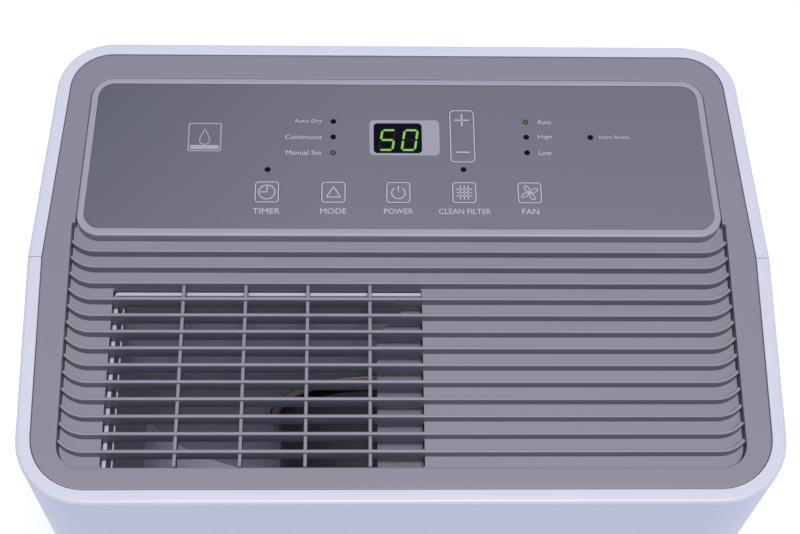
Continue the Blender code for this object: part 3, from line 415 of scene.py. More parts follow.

# %% [markdown]
# Metal parts need direction: brushed steel has fine lines along the part, copper tube is
# smoother and darkens in patches, and the coils are hundreds of thin fins. The fins are a
# stripe pattern that drives both colour and bump, with painted shade between the fins.

# %% Metals, board, net and window


def metal(name, colour, rough, stretch=(1, 1, 1), grain=500.0, patch=0.12):
    """Bare metal: stretched grain in its gloss and slow patches in its tone."""
    g = Graph(name, roughness=rough, metallic=1.0)
    lines = g.noise(grain, 3.0, stretch)
    broad = g.noise(25.0, 3.0)
    g.feed("Base Color", g.mix(broad, shade(colour, 1 - patch), shade(colour, 1 + patch)))
    g.feed("Roughness", rough - 0.08 + 0.16 * lines)
    g.bump(lines, 0.00001, 0.5)
    return g.material


STEEL = metal("bare_steel", (0.56, 0.56, 0.58), 0.34, (1, 1, 12))
COPPER = metal("copper_tube", (0.72, 0.38, 0.24), 0.30, (2, 2, 2), 300, 0.25)
BLACK_PAINT = moulded("black_paint", (0.020, 0.020, 0.022), 0.40, 500, 6e-5, 0.15, 0.1)


def fins_with_painted_shade():
    """Packed aluminium fins: narrow stripes across X, with painted shade in the dark stripes between
    the fins.
    """
    g = Graph("aluminium_fins", roughness=0.38, metallic=1.0)
    stripe = g.node("ShaderNodeTexWave", {"bands_direction": "X"}, {"Vector": g.place, "Scale": 90.0})
    dirt = g.noise(40.0, 4.0)
    # Painted shade: the dark stripes stand for the shade in the gaps between the fins.
    fins = g.mix(stripe, (0.10, 0.10, 0.11, 1), (0.74, 0.75, 0.78, 1))
    g.feed("Base Color", g.mix(dirt * 0.25, fins, (0.40, 0.38, 0.36, 1)))
    g.feed("Roughness", 0.30 + 0.2 * dirt)
    g.bump(stripe, 0.0006, 0.8)
    return g.material


def board_finish():
    """A lacquered circuit board: green, with paler tracks where a coarse pattern crosses."""
    g = Graph("circuit_board", roughness=0.35)
    cells = g.node("ShaderNodeTexBrick", {}, {"Vector": g.place, "Scale": 60.0}, "Fac")
    cloud = g.noise(200.0, 2.0)
    base = g.mix(cells, (0.012, 0.11, 0.045, 1), (0.03, 0.20, 0.09, 1))
    g.feed("Base Color", g.mix(cloud * 0.2, base, (0.02, 0.08, 0.04, 1)))
    g.bump(cells, 0.00005, 0.5)
    return g.material


def net_finish():
    """The filter's woven net: two crossed sets of threads, raised where they run."""
    g = Graph("filter_net", roughness=0.75)
    threads = [
        g.node("ShaderNodeTexWave", {"bands_direction": axis}, {"Vector": g.place, "Scale": 190.0})
        for axis in ("X", "Z")
    ]
    cross = g.node("ShaderNodeMath", {"operation": "MAXIMUM"}, {0: threads[0], 1: threads[1]})
    dust = g.noise(60.0, 3.0)
    net = g.mix(cross, (0.006, 0.006, 0.007, 1), (0.075, 0.075, 0.085, 1))
    g.feed("Base Color", g.mix(dust * 0.15, net, (0.16, 0.16, 0.16, 1)))
    g.bump(cross, 0.0003, 0.9)
    return g.material


def window_finish():
    """The clear level window: smooth tinted plastic that lets most light through."""
    g = Graph("clear_window", transmission_weight=0.75, ior=1.49)
    cloud = g.noise(30.0, 2.0)
    g.feed("Base Color", g.mix(cloud, (0.55, 0.62, 0.70, 1), (0.66, 0.72, 0.78, 1)))
    g.feed("Roughness", 0.06 + 0.06 * cloud)
    return g.material


FINS_WITH_PAINTED_SHADE = fins_with_painted_shade()
BOARD = board_finish()
NET = net_finish()
WINDOW = window_finish()
print("metals, board, net and window made")

# %% [markdown]
# ## Giving the solids their finish
# Pieces inside the machine keep the frame's own shapes. They only need the right material,
# which goes into the material slots that they already have.

# %% Finish of each node
FINISH = {
    WHITE: ["front_cover", "rear_cover", "bucket_front", "intake_grille"],
    GREY: ["top_cover", "side_grip_left", "side_grip_right", "drain_cap"],
    GRILLE_GREY: ["discharge_grille"],
    EDGING_WITH_PAINTED_LIGHT: ["control_panel"],
    FILM_WITH_PAINTED_REFLECTION: ["control_overlay", "humidity_rocker"],
    LENS: ["display_lens"],
    DUCT: ["blower_housing", "base_pan"],
    BROWN: ["blower_wheel"],
    STEEL: ["motor_shaft", "motor_bracket", "bucket_handle", "run_capacitor"],
    BLACK_PAINT: ["fan_motor", "compressor"],
    FINS_WITH_PAINTED_SHADE: ["evaporator_coil", "condenser_coil"],
    COPPER: ["suction_tube", "discharge_tube", "liquid_tube", "capillary_tube", "filter_drier"],
    RUBBER: ["compressor_grommet_1", "compressor_grommet_2", "compressor_grommet_3"],
    BOARD: ["control_board"],
    NATURAL: ["drip_tray", "chassis", "bucket"],
    WINDOW: ["level_window"],
    FOAM: ["float_arm"],
    NET: ["air_filter"],
    NYLON: ["bucket_switch", "cord_gland"],
}
FILM_KEYS = [node for node in frame["nodes"] if node.startswith("key_")]
FINISH[FILM_WITH_PAINTED_REFLECTION] += FILM_KEYS
CASTERS = ["front_left", "front_right", "rear_left", "rear_right"]
for corner in CASTERS:
    FINISH[STEEL].append(f"caster_axle_{corner}")
    FINISH[NYLON] += [f"caster_fork_{corner}", f"caster_wheel_{corner}"]
FINISH_OF = {node: look for look, nodes in FINISH.items() for node in nodes}
BODY_OF = {
    node: body for body, nodes in frame["record"]["behaviour"]["bodies"].items() for node in nodes
}
for node, thing in frame["nodes"].items():
    thing.data.materials.clear()
    thing.data.materials.append(FINISH_OF[node])
print("finished nodes", len(FINISH_OF))


def piece(made, node, look=None, replaces=False):
    """Gives a new piece its finish and the body of the node that it belongs to, and hides that node
    when it replaces it.
    """
    made.data.materials.clear()
    made.data.materials.append(look or FINISH_OF[node])
    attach(made, BODY_OF[node])
    if replaces:
        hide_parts(node)


def refined(node, width, segments=2):
    """A merged copy of a node with flat faces joined and its edges bevelled."""
    shape = bmesh.new()
    shape.from_mesh(frame["nodes"][node].data)
    bmesh.ops.remove_doubles(shape, verts=shape.verts, dist=1e-6)
    bmesh.ops.dissolve_limit(shape, angle_limit=math.radians(1.0), verts=shape.verts, edges=shape.edges)
    mesh = bpy.data.meshes.new(node + "_fine")
    shape.to_mesh(mesh)
    shape.free()
    smoothed(mesh, 30)
    made = placed(node + "_fine", mesh)
    bevel = made.modifiers.new("Soft edges", "BEVEL")
    bevel.width = width
    bevel.segments = segments
    bevel.limit_method = "ANGLE"
    bevel.angle_limit = math.radians(35)
    made.modifiers.new("Even shading", "WEIGHTED_NORMAL").keep_sharp = True
    piece(made, node, replaces=True)


# %% [markdown]
# ## The casing
# The white casing is two shells that meet at the middle of each side, where the plan has its
# widest point. Each shell is one closed profile carried round half of the plan: up the outside,
# over a rounded rim, down to a ledge, and back down the thin inner wall. Openings are cut after.

# %% Plan of the cabinet
HALF, END = cad_high.x, cad_high.y
SEAM = abs(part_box("front_cover")[1].y)
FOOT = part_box("front_cover")[0].z
FRONT_TAPER, FRONT_CORNER = 0.0340, 0.036
REAR_TAPER, REAR_CORNER = 0.0577, 0.030
WALL, RIM, RIM_DEEP = 0.003, 0.0073, 0.013
EDGE_ROUND = 0.0020
PASSING_YS = (0.0195, 0.0225)
BEND = 0.00003
SMALL_ROUND = 0.0004


def half_plan(sign, inset):
    """Half of the plan from seam to seam; the sign is 1 for the rear and -1 for the front."""
    taper, corner = (REAR_TAPER, REAR_CORNER) if sign > 0 else (FRONT_TAPER, FRONT_CORNER)
    end = END - inset
    wide, narrow = (HALF - inset - taper * y for y in (SEAM, end))
    corners = [
        (-wide, sign * SEAM, 0),
        (-narrow, sign * end, corner - inset),
        (narrow, sign * end, corner - inset),
        (wide, sign * SEAM, 0),
    ]
    return outline(corners, closed=False, run=14)


def mirrored(right):
    """The corners of a whole outline, from those of its right side from front to rear."""
    return right + [(-x, y, radius) for x, y, radius in reversed(right)]


def cabinet_plan(inset):
    """The whole plan at an inset, with a slight bend at two places behind the seam."""
    wide, end = HALF - inset, END - inset
    near, far = (wide - REAR_TAPER * y + BEND for y in PASSING_YS)
    right = [
        (wide - FRONT_TAPER * end, -end, FRONT_CORNER - inset),
        (wide, 0, 0.0005),
        (near, PASSING_YS[0], SMALL_ROUND),
        (far, PASSING_YS[1], SMALL_ROUND),
        (wide - REAR_TAPER * end, end, REAR_CORNER - inset),
    ]
    return outline(mirrored(right))


CASING_PROFILE = outline(
    [
        (0.0, FOOT, 0.0008),
        (0.0, TOP, EDGE_ROUND),
        (RIM, TOP, 0.0003),
        (RIM, TOP - RIM_DEEP, 0.0003),
        (WALL, TOP - RIM_DEEP, 0.0003),
        (WALL, FOOT, 0.0008),
    ],
    run=2,
)
print("casing profile has", len(CASING_PROFILE), "points")

# %% [markdown]
# The two shells also carry the openings: the bucket's bay at the front, the intake window, the
# drain and the cord hole at the rear, and the two grip recesses that straddle the seam.

# %% Casing shells
CLEAR, HOLE_CLEAR = 0.0004, 0.0003
PUNCH = 0.02


def spans(node, grow=0.0):
    """A node's ranges in X, Y and Z, made larger at both ends."""
    return [(low - grow, high + grow) for low, high in zip(*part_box(node))]


def punch(across, heights, radius, near, axis="Y"):
    """A cutter with a rounded outline that passes through a wall near this place."""
    flat = outline(rectangle(across, heights, radius), run=3)
    return carried(flat, (near - PUNCH, near + PUNCH), axis)


def round_cut(node):
    """A round hole through the rear wall for a round node."""
    (x0, x1), _, zs = spans(node)
    radius = (x1 - x0) / 2 + HOLE_CLEAR
    return turned([(radius, -PUNCH), (radius, PUNCH)], ((x0 + x1) / 2, END, sum(zs) / 2), "Y")


def casing_shell(name, node, sign, *cuts):
    """The profile carried round its half of the plan, with its openings cut out."""
    rings = stacked([(half_plan(sign, inset), z) for inset, z in CASING_PROFILE])
    shell = object_of(name, skin(rings, close_u=False, close_v=True, caps=True))
    carve(shell, *cuts)
    piece(shell, node, replaces=True)
    print(name, "has", len(shell.data.polygons), "faces")


grips = [punch(*spans("side_grip_right", CLEAR)[1:], 0.0102, x, "X") for x in (-HALF, HALF)]
bay = punch(*spans("bucket_front", CLEAR)[::2], 0.0064, -END)
intake = punch(*spans("intake_grille", CLEAR)[::2], 0.006, END)
casing_shell("casing_front", "front_cover", -1, bay, *grips)
rear_holes = [round_cut(node) for node in ("drain_cap", "cord_gland")]
casing_shell("casing_rear", "rear_cover", 1, intake, *rear_holes, *grips)

# %% [markdown]
# ## The grey top cover
# The cover is a flat ring. Its outside follows the casing's plan and its inside follows the
# window that holds the control panel and the grille, with a small step between the two. Both
# outlines have ten corners in the same order, so lines from one to the other never cross.

# %% Top cover
COVER_LOW, COVER_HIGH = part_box("top_cover")
COVER_TOP = COVER_HIGH.z
COVER_INSET = HALF - COVER_HIGH.x
PANEL_LOW, PANEL_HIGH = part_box("control_panel")
PANEL_HALF_REAR = 0.1690
PANEL_CLEAR = 0.0003
GRILLE_LOW, GRILLE_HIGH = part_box("discharge_grille")
RECESS_HALF, RECESS_TAPER, RECESS_CORNER = 0.1737, 0.020, 0.0125
RECESS_REAR = GRILLE_HIGH.y + 0.0003
RECESS_FRONT = GRILLE_LOW.y - 0.0003
STEP_Y = 0.0207
QUARTER = math.pi / 2


def recess_half(y):
    """Half the recess's width at this Y; it narrows towards the front."""
    return RECESS_HALF - RECESS_TAPER * (RECESS_REAR - y)


def window_plan(grow):
    """The cover's window: panel end at the rear, grille recess in front, grown outwards."""
    share = (STEP_Y - PANEL_LOW.y) / (PANEL_HIGH.y - PANEL_LOW.y)
    step = PANEL_HIGH.x + (PANEL_HALF_REAR - PANEL_HIGH.x) * share + PANEL_CLEAR
    rear, rear_y = PANEL_HALF_REAR + PANEL_CLEAR + grow, PANEL_HIGH.y + PANEL_CLEAR + grow
    right = [
        (recess_half(RECESS_FRONT) + grow, RECESS_FRONT - grow, RECESS_CORNER + grow),
        (recess_half(0) + grow + BEND, 0, 0.0005),
        (recess_half(STEP_Y) + grow, STEP_Y + grow, SMALL_ROUND),
        (step + grow, STEP_Y + grow, SMALL_ROUND),
        (rear, rear_y, 0.0130 + grow),
    ]
    return outline(mirrored(right))


def cover_rings():
    """P(u, v): up the outer edge, over it, across to the window, over its edge and down."""
    edge, lip = 0.0003, 0.0004
    rings = [(cabinet_plan(COVER_INSET), COVER_LOW.z)]
    for a in np.linspace(0, QUARTER, 5):
        inset = COVER_INSET + edge * (1 - math.cos(a))
        rings.append((cabinet_plan(inset), COVER_TOP - edge + edge * math.sin(a)))
    outer, inner = rings[-1][0], window_plan(lip)
    rings += [(outer + (inner - outer) * share, COVER_TOP) for share in (0.1, 0.5, 0.9)]
    for a in np.linspace(0, QUARTER, 5):
        rings.append((window_plan(lip * (1 - math.sin(a))), COVER_TOP - lip + lip * math.cos(a)))
    return stacked([*rings, (window_plan(0.0), COVER_LOW.z)])


top_cover = object_of("top_cover_fine", skin(cover_rings(), close_v=True))
piece(top_cover, "top_cover", replaces=True)
print("cover ring points", len(top_cover.data.vertices))

# %% [markdown]
# ## The discharge grille
# The grille is a tray with thirteen raised slats. Each slat is a rounded bar carried along a
# path that runs straight and curls back at both ends. Over the blower's duct the tray is open,
# and four thin ribs tie the slats together from front to back.

# %% Grille tray and slats
TRAY_TOP = TOP - 0.0064
TRAY_LOW = GRILLE_LOW.z
TRAY_SIDE_GAP = 0.0004
SLAT_COUNT = 13
SLAT_FIRST, SLAT_PITCH = 0.01256, 0.009319
SLAT_THICK, SLAT_DEEP = 0.0017, 0.0038
SLAT_CURL, SLAT_TURN = 0.017, math.radians(50)
SLAT_END_GAP = 0.0002
VENT_X = (-0.1500, 0.0108)
VENT_REAR = -0.0154


def slat_path(number):
    """The middle line of a slat: x runs straight, then turns back on a circle at each end."""
    front = SLAT_FIRST - SLAT_PITCH * number
    straight = recess_half(front) - SLAT_END_GAP - SLAT_CURL * math.sin(SLAT_TURN)
    radius = SLAT_CURL - SLAT_THICK / 2
    turn = np.linspace(0, SLAT_TURN, 13)
    x, y = straight + radius * np.sin(turn), front + SLAT_CURL - radius * np.cos(turn)
    curl = np.column_stack([x, y])
    x = np.linspace(-straight, straight, 12)[1:-1]
    run = np.column_stack([x, np.full(len(x), front + SLAT_THICK / 2)])
    return np.concatenate([curl[::-1] * (-1, 1), run, curl])


tray_right = [
    (recess_half(RECESS_FRONT) - TRAY_SIDE_GAP, GRILLE_LOW.y, RECESS_CORNER),
    (RECESS_HALF - TRAY_SIDE_GAP, GRILLE_HIGH.y, 0.0005),
]
tray = object_of("grille_tray", carried(outline(mirrored(tray_right)), (TRAY_LOW, TRAY_TOP)))
vent = outline(rectangle(VENT_X, (RECESS_FRONT + 0.002, VENT_REAR), 0.0015), run=2)
carve(tray, carried(vent, (TRAY_LOW - PUNCH, TRAY_TOP + PUNCH)))
piece(tray, "discharge_grille", replaces=True)

section = rectangle((-SLAT_THICK / 2, SLAT_THICK / 2), (TRAY_TOP - SLAT_DEEP, COVER_TOP), 0.00045)
section = outline(section, run=2)
slats = [swept(slat_path(number), section) for number in range(1, SLAT_COUNT + 1)]
piece(object_of("grille_slats", *slats), "discharge_grille")
print("slats", len(slats))

# %% [markdown]
# The ribs are plain bars that stand in the vent and stop a little below the tops of the slats.
# Each is one section in X and Z, carried from the front to the rear of the vent.

# %% Ribs of the vent
RIBS = [-0.1130, -0.0808, -0.0486, -0.0164]
RIB_HALF = 0.0009


def bar(xs, ys, zs):
    """A straight bar along Y with softly rounded long edges."""
    return carried(outline(rectangle(xs, zs, SMALL_ROUND), run=1), ys, "Y")


rib_ys = (RECESS_FRONT + 0.0012, VENT_REAR + 0.001)
rib_zs = (TRAY_LOW + 0.0004, TOP - 0.0026)
ribs = [bar((x - RIB_HALF, x + RIB_HALF), rib_ys, rib_zs) for x in RIBS]
piece(object_of("vent_ribs", *ribs), "discharge_grille")
print("ribs", len(ribs))

# %% [markdown]
# The slats leave a view into the blower's duct. Its rear wall slopes forward to a divider with
# a round opening, in which the wheel's disc turns. In front of it a smooth lining follows the
# scroll's spiral. A thin ridge runs beside the left wall, and a darker shelf with a cut corner
# lies at the right, behind a narrow slit.

# %% Duct wall, divider and shelf
WHEEL_LOW, WHEEL_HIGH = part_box("blower_wheel")
WHEEL_X = (WHEEL_LOW.x + WHEEL_HIGH.x) / 2
WHEEL_Z = (WHEEL_LOW.z + WHEEL_HIGH.z) / 2
WHEEL_RADIUS = (WHEEL_HIGH.x - WHEEL_LOW.x) / 2
HOUSING_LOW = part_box("blower_housing")[0]
DUCT_LEFT = HOUSING_LOW.x + 0.002
DUCT_RIGHT = VENT_X[1] - 0.0003
DUCT_FRONT, DUCT_REAR = RECESS_FRONT + 0.003, -0.0176
SINK = 0.0006
RIDGE_TOP, SLOPE_TOP, SHELF_TOP = TOP - 0.0125, TOP - 0.0135, TOP - 0.0158
DIVIDER_TOP = WHEEL_HIGH.z + 0.004
DIVIDER_YS = (WHEEL_LOW.y - 0.0010, WHEEL_LOW.y + 0.0004)
SCROLL_START, SCROLL_GROWTH = 0.072, 0.01478
SCROLL_FRONT = HOUSING_LOW.y + 0.0022
TONGUE = math.radians(60)


def spiral(degrees, offset):
    """X and Z on the scroll's spiral, r(a) = start + growth * (tongue - a) + offset.

    The angle a is taken about the wheel's axis, from the tongue round to the duct's left wall.
    """
    angle = np.radians(degrees)
    radius = SCROLL_START + SCROLL_GROWTH * (TONGUE - angle) + offset
    return np.column_stack([WHEEL_X + radius * np.cos(angle), WHEEL_Z + radius * np.sin(angle)])


sweep = np.linspace(55, -179, 118)
fade = np.clip((sweep + 179) / 14, 0, 1)
lining = np.concatenate([spiral(sweep, 0.0004), spiral(sweep, 0.0002 - 0.0011 * fade)[::-1]])
lining = object_of("scroll_lining", carried(lining, (SCROLL_FRONT, DIVIDER_YS[0] - 0.0002), "Y"))

curve = spiral(np.linspace(-178, -130, 13), 0.0004)
corners = [(DUCT_RIGHT, curve[-1, 1]), (DUCT_RIGHT, DIVIDER_TOP), (DUCT_LEFT - SINK, DIVIDER_TOP)]
divider = object_of("duct_divider", carried(np.concatenate([curve, corners]), DIVIDER_YS, "Y"))
opening = [(WHEEL_RADIUS + 0.0008, -PUNCH), (WHEEL_RADIUS + 0.0008, PUNCH)]
carve(divider, turned(opening, (WHEEL_X, DIVIDER_YS[0], WHEEL_Z), "Y", 96))

slope_side = [
    (DUCT_REAR - 0.0004, SLOPE_TOP),
    (DIVIDER_YS[1], DIVIDER_TOP + 0.0003),
    (DIVIDER_YS[0], DIVIDER_TOP + 0.0003),
    (DUCT_REAR - 0.0020, SLOPE_TOP),
]
slope = object_of("duct_slope", carried(slope_side, (DUCT_LEFT - SINK, DUCT_RIGHT), "X"))

ridge_xs, ridge_ys = (DUCT_LEFT + 0.0026, DUCT_LEFT + 0.0034), (DUCT_FRONT, DUCT_REAR - 0.002)
ridge = object_of("duct_ridge", bar(ridge_xs, ridge_ys, (RIDGE_TOP - 0.006, RIDGE_TOP)))

shelf_left = -0.0126
shelf_plan = [
    (shelf_left, DUCT_FRONT, 0.001),
    (DUCT_RIGHT, DUCT_FRONT, 0.001),
    (DUCT_RIGHT, DUCT_REAR - 0.003, 0.001),
    (shelf_left + 0.0165, DUCT_REAR - 0.003, 0.004),
    (shelf_left, DUCT_REAR - 0.0205, 0.004),
]
shelf = object_of("duct_shelf", carried(outline(shelf_plan, run=2), (SHELF_TOP - 0.002, SHELF_TOP)))
for made in (lining, divider, slope, ridge):
    piece(made, "blower_housing")
piece(shelf, "blower_housing", SHADE_GREY)
print("scroll starts", SCROLL_START, "m from the axis")

# %% [markdown]
# ## The wheel's rim and the motor's cover
# In the round opening the wheel shows a rolled rim, and in front of it a plain brown drum covers
# the motor. Both are profiles of radius and depth in millimetres, turned round the blower's
# axis. The rim spins with the wheel, and the drum stays still with the motor's body.

# %% Rim and drum
RIM_MM = [
    (60.0, 0.6), (60.0, -1.0), (59.4, -2.2), (58.2, -3.0), (56.6, -3.3), (55.0, -2.9),
    (53.6, -1.9), (52.6, -0.6), (52.0, 0.6),
]
DRUM_MM = [
    (18.0, -6.0), (50.0, -6.0), (52.2, -6.3), (53.5, -7.0), (54.0, -8.3), (54.0, -80.0),
    (53.4, -81.6), (52.0, -82.3), (18.0, -82.3),
]
for name, profile, node, look in (
    ("wheel_rim", RIM_MM, "blower_wheel", RIM_BROWN),
    ("motor_cover", DRUM_MM, "fan_motor", DRUM_BROWN),
):
    middle = (WHEEL_X, WHEEL_LOW.y, WHEEL_Z)
    shell = turned(np.array(profile) / 1000, middle, "Y", 96, hollow=True)
    piece(object_of(name, shell), node, look)
    print(name, "has", len(shell[0]), "points")

# %% [markdown]
# ## The control panel
# The panel is a raised frame with soft edges round a darker printed film. One outline, repeated
# at small insets, gives the rounded outer edge, the flat top and the step down to the film.

# %% Panel frame
PANEL_EDGE, PANEL_EDGE_FRONT = 0.0037, 0.0045
POCKET_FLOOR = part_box("control_overlay")[0].z - 0.0003


def panel_plan(side, front):
    """The panel's outline at an inset, which can be larger at the front than elsewhere."""
    right = [
        (PANEL_HIGH.x - side, PANEL_LOW.y + front, 0.0128 - side),
        (PANEL_HALF_REAR - side, PANEL_HIGH.y - side, 0.0125 - side),
    ]
    return outline(mirrored(right), run=16)


def panel_rings():
    """P(u, v): up the outside, over a rounded edge, across the frame and down to the pocket."""
    outer, inner = 0.0009, 0.0003
    rings = [(panel_plan(0, 0), PANEL_LOW.z)]
    for a in np.linspace(0, QUARTER, 6):
        inset = outer * (1 - math.cos(a))
        rings.append((panel_plan(inset, inset), TOP - outer + outer * math.sin(a)))
    for a in np.linspace(0, QUARTER, 6):
        back = inner * (1 - math.sin(a))
        plan = panel_plan(PANEL_EDGE - back, PANEL_EDGE_FRONT - back)
        rings.append((plan, TOP - inner + inner * math.cos(a)))
    return stacked([*rings, (panel_plan(PANEL_EDGE, PANEL_EDGE_FRONT), POCKET_FLOOR)])


panel = object_of("panel_frame", skin(panel_rings(), caps=True))
holes = []
for node in [*FILM_KEYS, "humidity_rocker", "display_lens"]:
    hole = outline(rectangle(*spans(node)[:2], 0.002, -0.0002), run=2)
    holes.append(carried(hole, (PANEL_LOW.z - PUNCH, TOP + PUNCH)))
carve(panel, *holes)
piece(panel, "control_panel", replaces=True)
print("panel frame points", len(panel.data.vertices))

# %% [markdown]
# The grips, the bucket's front, the rear grille and a few small caps already have the right
# shape. They only need soft edges, so each gets a merged copy with a live Bevel modifier.

# %% Small covers
ROUNDING = {
    "side_grip_left": 0.0006,
    "side_grip_right": 0.0006,
    "bucket_front": 0.0010,
    "intake_grille": 0.0007,
    "drain_cap": 0.0005,
    "cord_gland": 0.0005,
    **{f"caster_fork_{corner}": 0.0003 for corner in CASTERS},
}
for node, width in ROUNDING.items():
    refined(node, width, segments=3 if node == "bucket_front" else 2)
print("covers refined", len(ROUNDING))

# %% [markdown]
# ## Printing on the film
# The marks on the film are thin ink shapes a few hundredths of a millimetre above it: frames,
# icons, dots and plain function words. Lines are narrow strips on both sides of a path, so an
# icon is just a few paths. Marks on a key move with that key.

# %% Tools for ink
FILM_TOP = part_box("control_overlay")[1].z
INK_LIFT, SECOND_LIFT = 0.00004, 0.00003


def on_film(grid, closed=True):
    """A flat surface from a grid of X and Y, laid a hair above the film."""
    height = np.full((*grid.shape[:2], 1), FILM_TOP + INK_LIFT)
    return skin(np.concatenate([grid, height], axis=2), close_u=closed)


def strip(path, width, closed=False):
    """A flat line: each path point is moved half a width along the normal to both sides."""
    path = np.array(path, float)
    if closed:
        ahead = np.roll(path, -1, axis=0) - np.roll(path, 1, axis=0)
    else:
        ahead = np.gradient(path, axis=0)
    ahead /= np.linalg.norm(ahead, axis=1)[:, None]
    normal = np.column_stack([-ahead[:, 1], ahead[:, 0]])
    return on_film(np.stack([path - normal * width / 2, path + normal * width / 2], axis=1), closed)


def circle(x, y, radius, start=0.0, sweep=360.0, count=33):
    """Points on a circle from a start angle through a sweep, in degrees."""
    angle = np.radians(start + np.linspace(0, sweep, count))
    return np.column_stack([x + radius * np.cos(angle), y + radius * np.sin(angle)])


def patch(path):
    """A filled flat shape, as a fan round its middle."""
    path = np.array(path, float)
    return on_film(np.stack([path, np.repeat(path.mean(0)[None], len(path), axis=0)], axis=1))


def face_up(made):
    """Turns every face of a flat print upwards."""
    shape = bmesh.new()
    shape.from_mesh(made.data)
    down = [face for face in shape.faces if face.normal.z < 0]
    bmesh.ops.reverse_faces(shape, faces=down)
    shape.to_mesh(made.data)
    shape.free()


def ink(name, shells, node, look=INK, lift=0.0):
    """A printed piece on the film over a node, facing up."""
    made = object_of(name, *[(points + (0, 0, lift), faces) for points, faces in shells])
    face_up(made)
    piece(made, node, look)


def words(name, text, place, size, node="control_overlay", align="CENTER", look=INK, lift=0.0):
    """Plain words as a flat mesh, scaled so that they fill a width and a cap height."""
    curve = bpy.data.curves.new(name, "FONT")
    curve.body = text
    curve.resolution_u = 3
    holder = placed(name, curve)
    mesh = final_mesh(holder)
    bpy.data.objects.remove(holder)
    points = np.empty(3 * len(mesh.vertices), np.float32)
    mesh.vertices.foreach_get("co", points)
    points = points.reshape(-1, 3).astype(float)
    low, high = points.min(0), points.max(0)
    anchor = {"CENTER": (low[0] + high[0]) / 2, "LEFT": low[0], "RIGHT": high[0]}[align]
    mesh.transform(
        Matrix.Translation((*place, FILM_TOP + INK_LIFT + lift))
        @ Matrix.Diagonal((size[0] / (high[0] - low[0]), size[1] / (high[1] - low[1]), 1, 1))
        @ Matrix.Translation((-anchor, -(low[1] + high[1]) / 2, 0))
    )
    made = placed(name, mesh)
    face_up(made)
    piece(made, node, look)


print("ink tools are ready")

# %% [markdown]
# The five square keys have a thin frame and an icon each: a clock, a triangle, a power sign,
# a mesh and a four-bladed fan. The words under them stand on the film itself.

# %% Keys and their icons
LINE, BOLD_LINE, THIN_LINE = 0.00055, 0.0007, 0.00044
WORD_DROP, WORD_HEIGHT = 0.0116, 0.0033
KEYS = {
    "key_timer": ("TIMER", 0.0144),
    "key_mode": ("MODE", 0.0139),
    "key_power": ("POWER", 0.0155),
    "key_filter": ("CLEAN FILTER", 0.0278),
    "key_fan": ("FAN", 0.0090),
}


def frame_line(node, radius):
    """A thin frame just inside a node's edge."""
    flat = rectangle(*spans(node)[:2], radius, LINE / 2 + 0.0001)
    return strip(outline(flat, run=3), LINE, True)


def icon(node, x, y):
    """The paths of a key's icon about its middle."""
    if node == "key_timer":
        return [
            strip(circle(x, y, 0.0043)[:-1], LINE, True),
            strip([(x, y + 0.0036), (x, y + 0.0001)], LINE),
            strip([(x + 0.0002, y), (x - 0.0034, y)], LINE),
        ]
    if node == "key_mode":
        foot, peak, half = y - 0.0030, y + 0.0034, 0.0038
        corners = [(x - half, foot, 0.0002), (x + half, foot, 0.0002), (x, peak, 0.0002)]
        return [strip(outline(corners, run=2), LINE, True)]
    if node == "key_power":
        return [
            strip(circle(x, y - 0.0003, 0.0036, 125, 290), LINE),
            strip([(x, y + 0.0042), (x, y + 0.0006)], LINE),
        ]
    if node == "key_filter":
        spots = (-0.0021, 0.0, 0.0021)
        lines = [strip([(x + s, y - 0.0043), (x + s, y + 0.0043)], LINE) for s in spots]
        return lines + [strip([(x - 0.0043, y + s), (x + 0.0043, y + s)], LINE) for s in spots]
    blades = []
    for degrees in range(20, 380, 90):
        turn = math.radians(degrees)
        t = np.linspace(0, 2 * math.pi, 20, endpoint=False)
        along = 0.0028 - 0.0021 * np.cos(t)
        across = 0.0011 * np.sin(t) + 0.0008 * np.sin(t / 2) ** 2
        spin = np.array([[math.cos(turn), math.sin(turn)], [-math.sin(turn), math.cos(turn)]])
        blades.append(strip(np.column_stack([along, across]) @ spin + (x, y), THIN_LINE, True))
    return blades + [patch(circle(x, y, 0.0006)[:-1])]


for node, (label, width) in KEYS.items():
    x, y = (sum(span) / 2 for span in spans(node)[:2])
    ink(node + "_print", [frame_line(node, 0.002), *icon(node, x, y)], node)
    words(node + "_word", label, (x, y - WORD_DROP), (width, WORD_HEIGHT))
print("keys printed", len(KEYS))

# %% [markdown]
# The plus and minus sit on one rocker, so their print tips with it. The display is a dark lens
# in a pale printed surround, with its unit marked beside it.

# %% Rocker and display
rocker_xs, rocker_ys, _ = spans("humidity_rocker")
rocker_x = sum(rocker_xs) / 2
plus_y, minus_y = rocker_ys[1] - 0.0066, rocker_ys[0] + 0.0066
rocker_marks = [
    frame_line("humidity_rocker", 0.0025),
    strip([(rocker_x - 0.0040, plus_y), (rocker_x + 0.0040, plus_y)], BOLD_LINE),
    strip([(rocker_x, plus_y - 0.0040), (rocker_x, plus_y + 0.0040)], BOLD_LINE),
    strip([(rocker_x - 0.0037, minus_y), (rocker_x + 0.0037, minus_y)], BOLD_LINE),
]
ink("rocker_print", rocker_marks, "humidity_rocker")

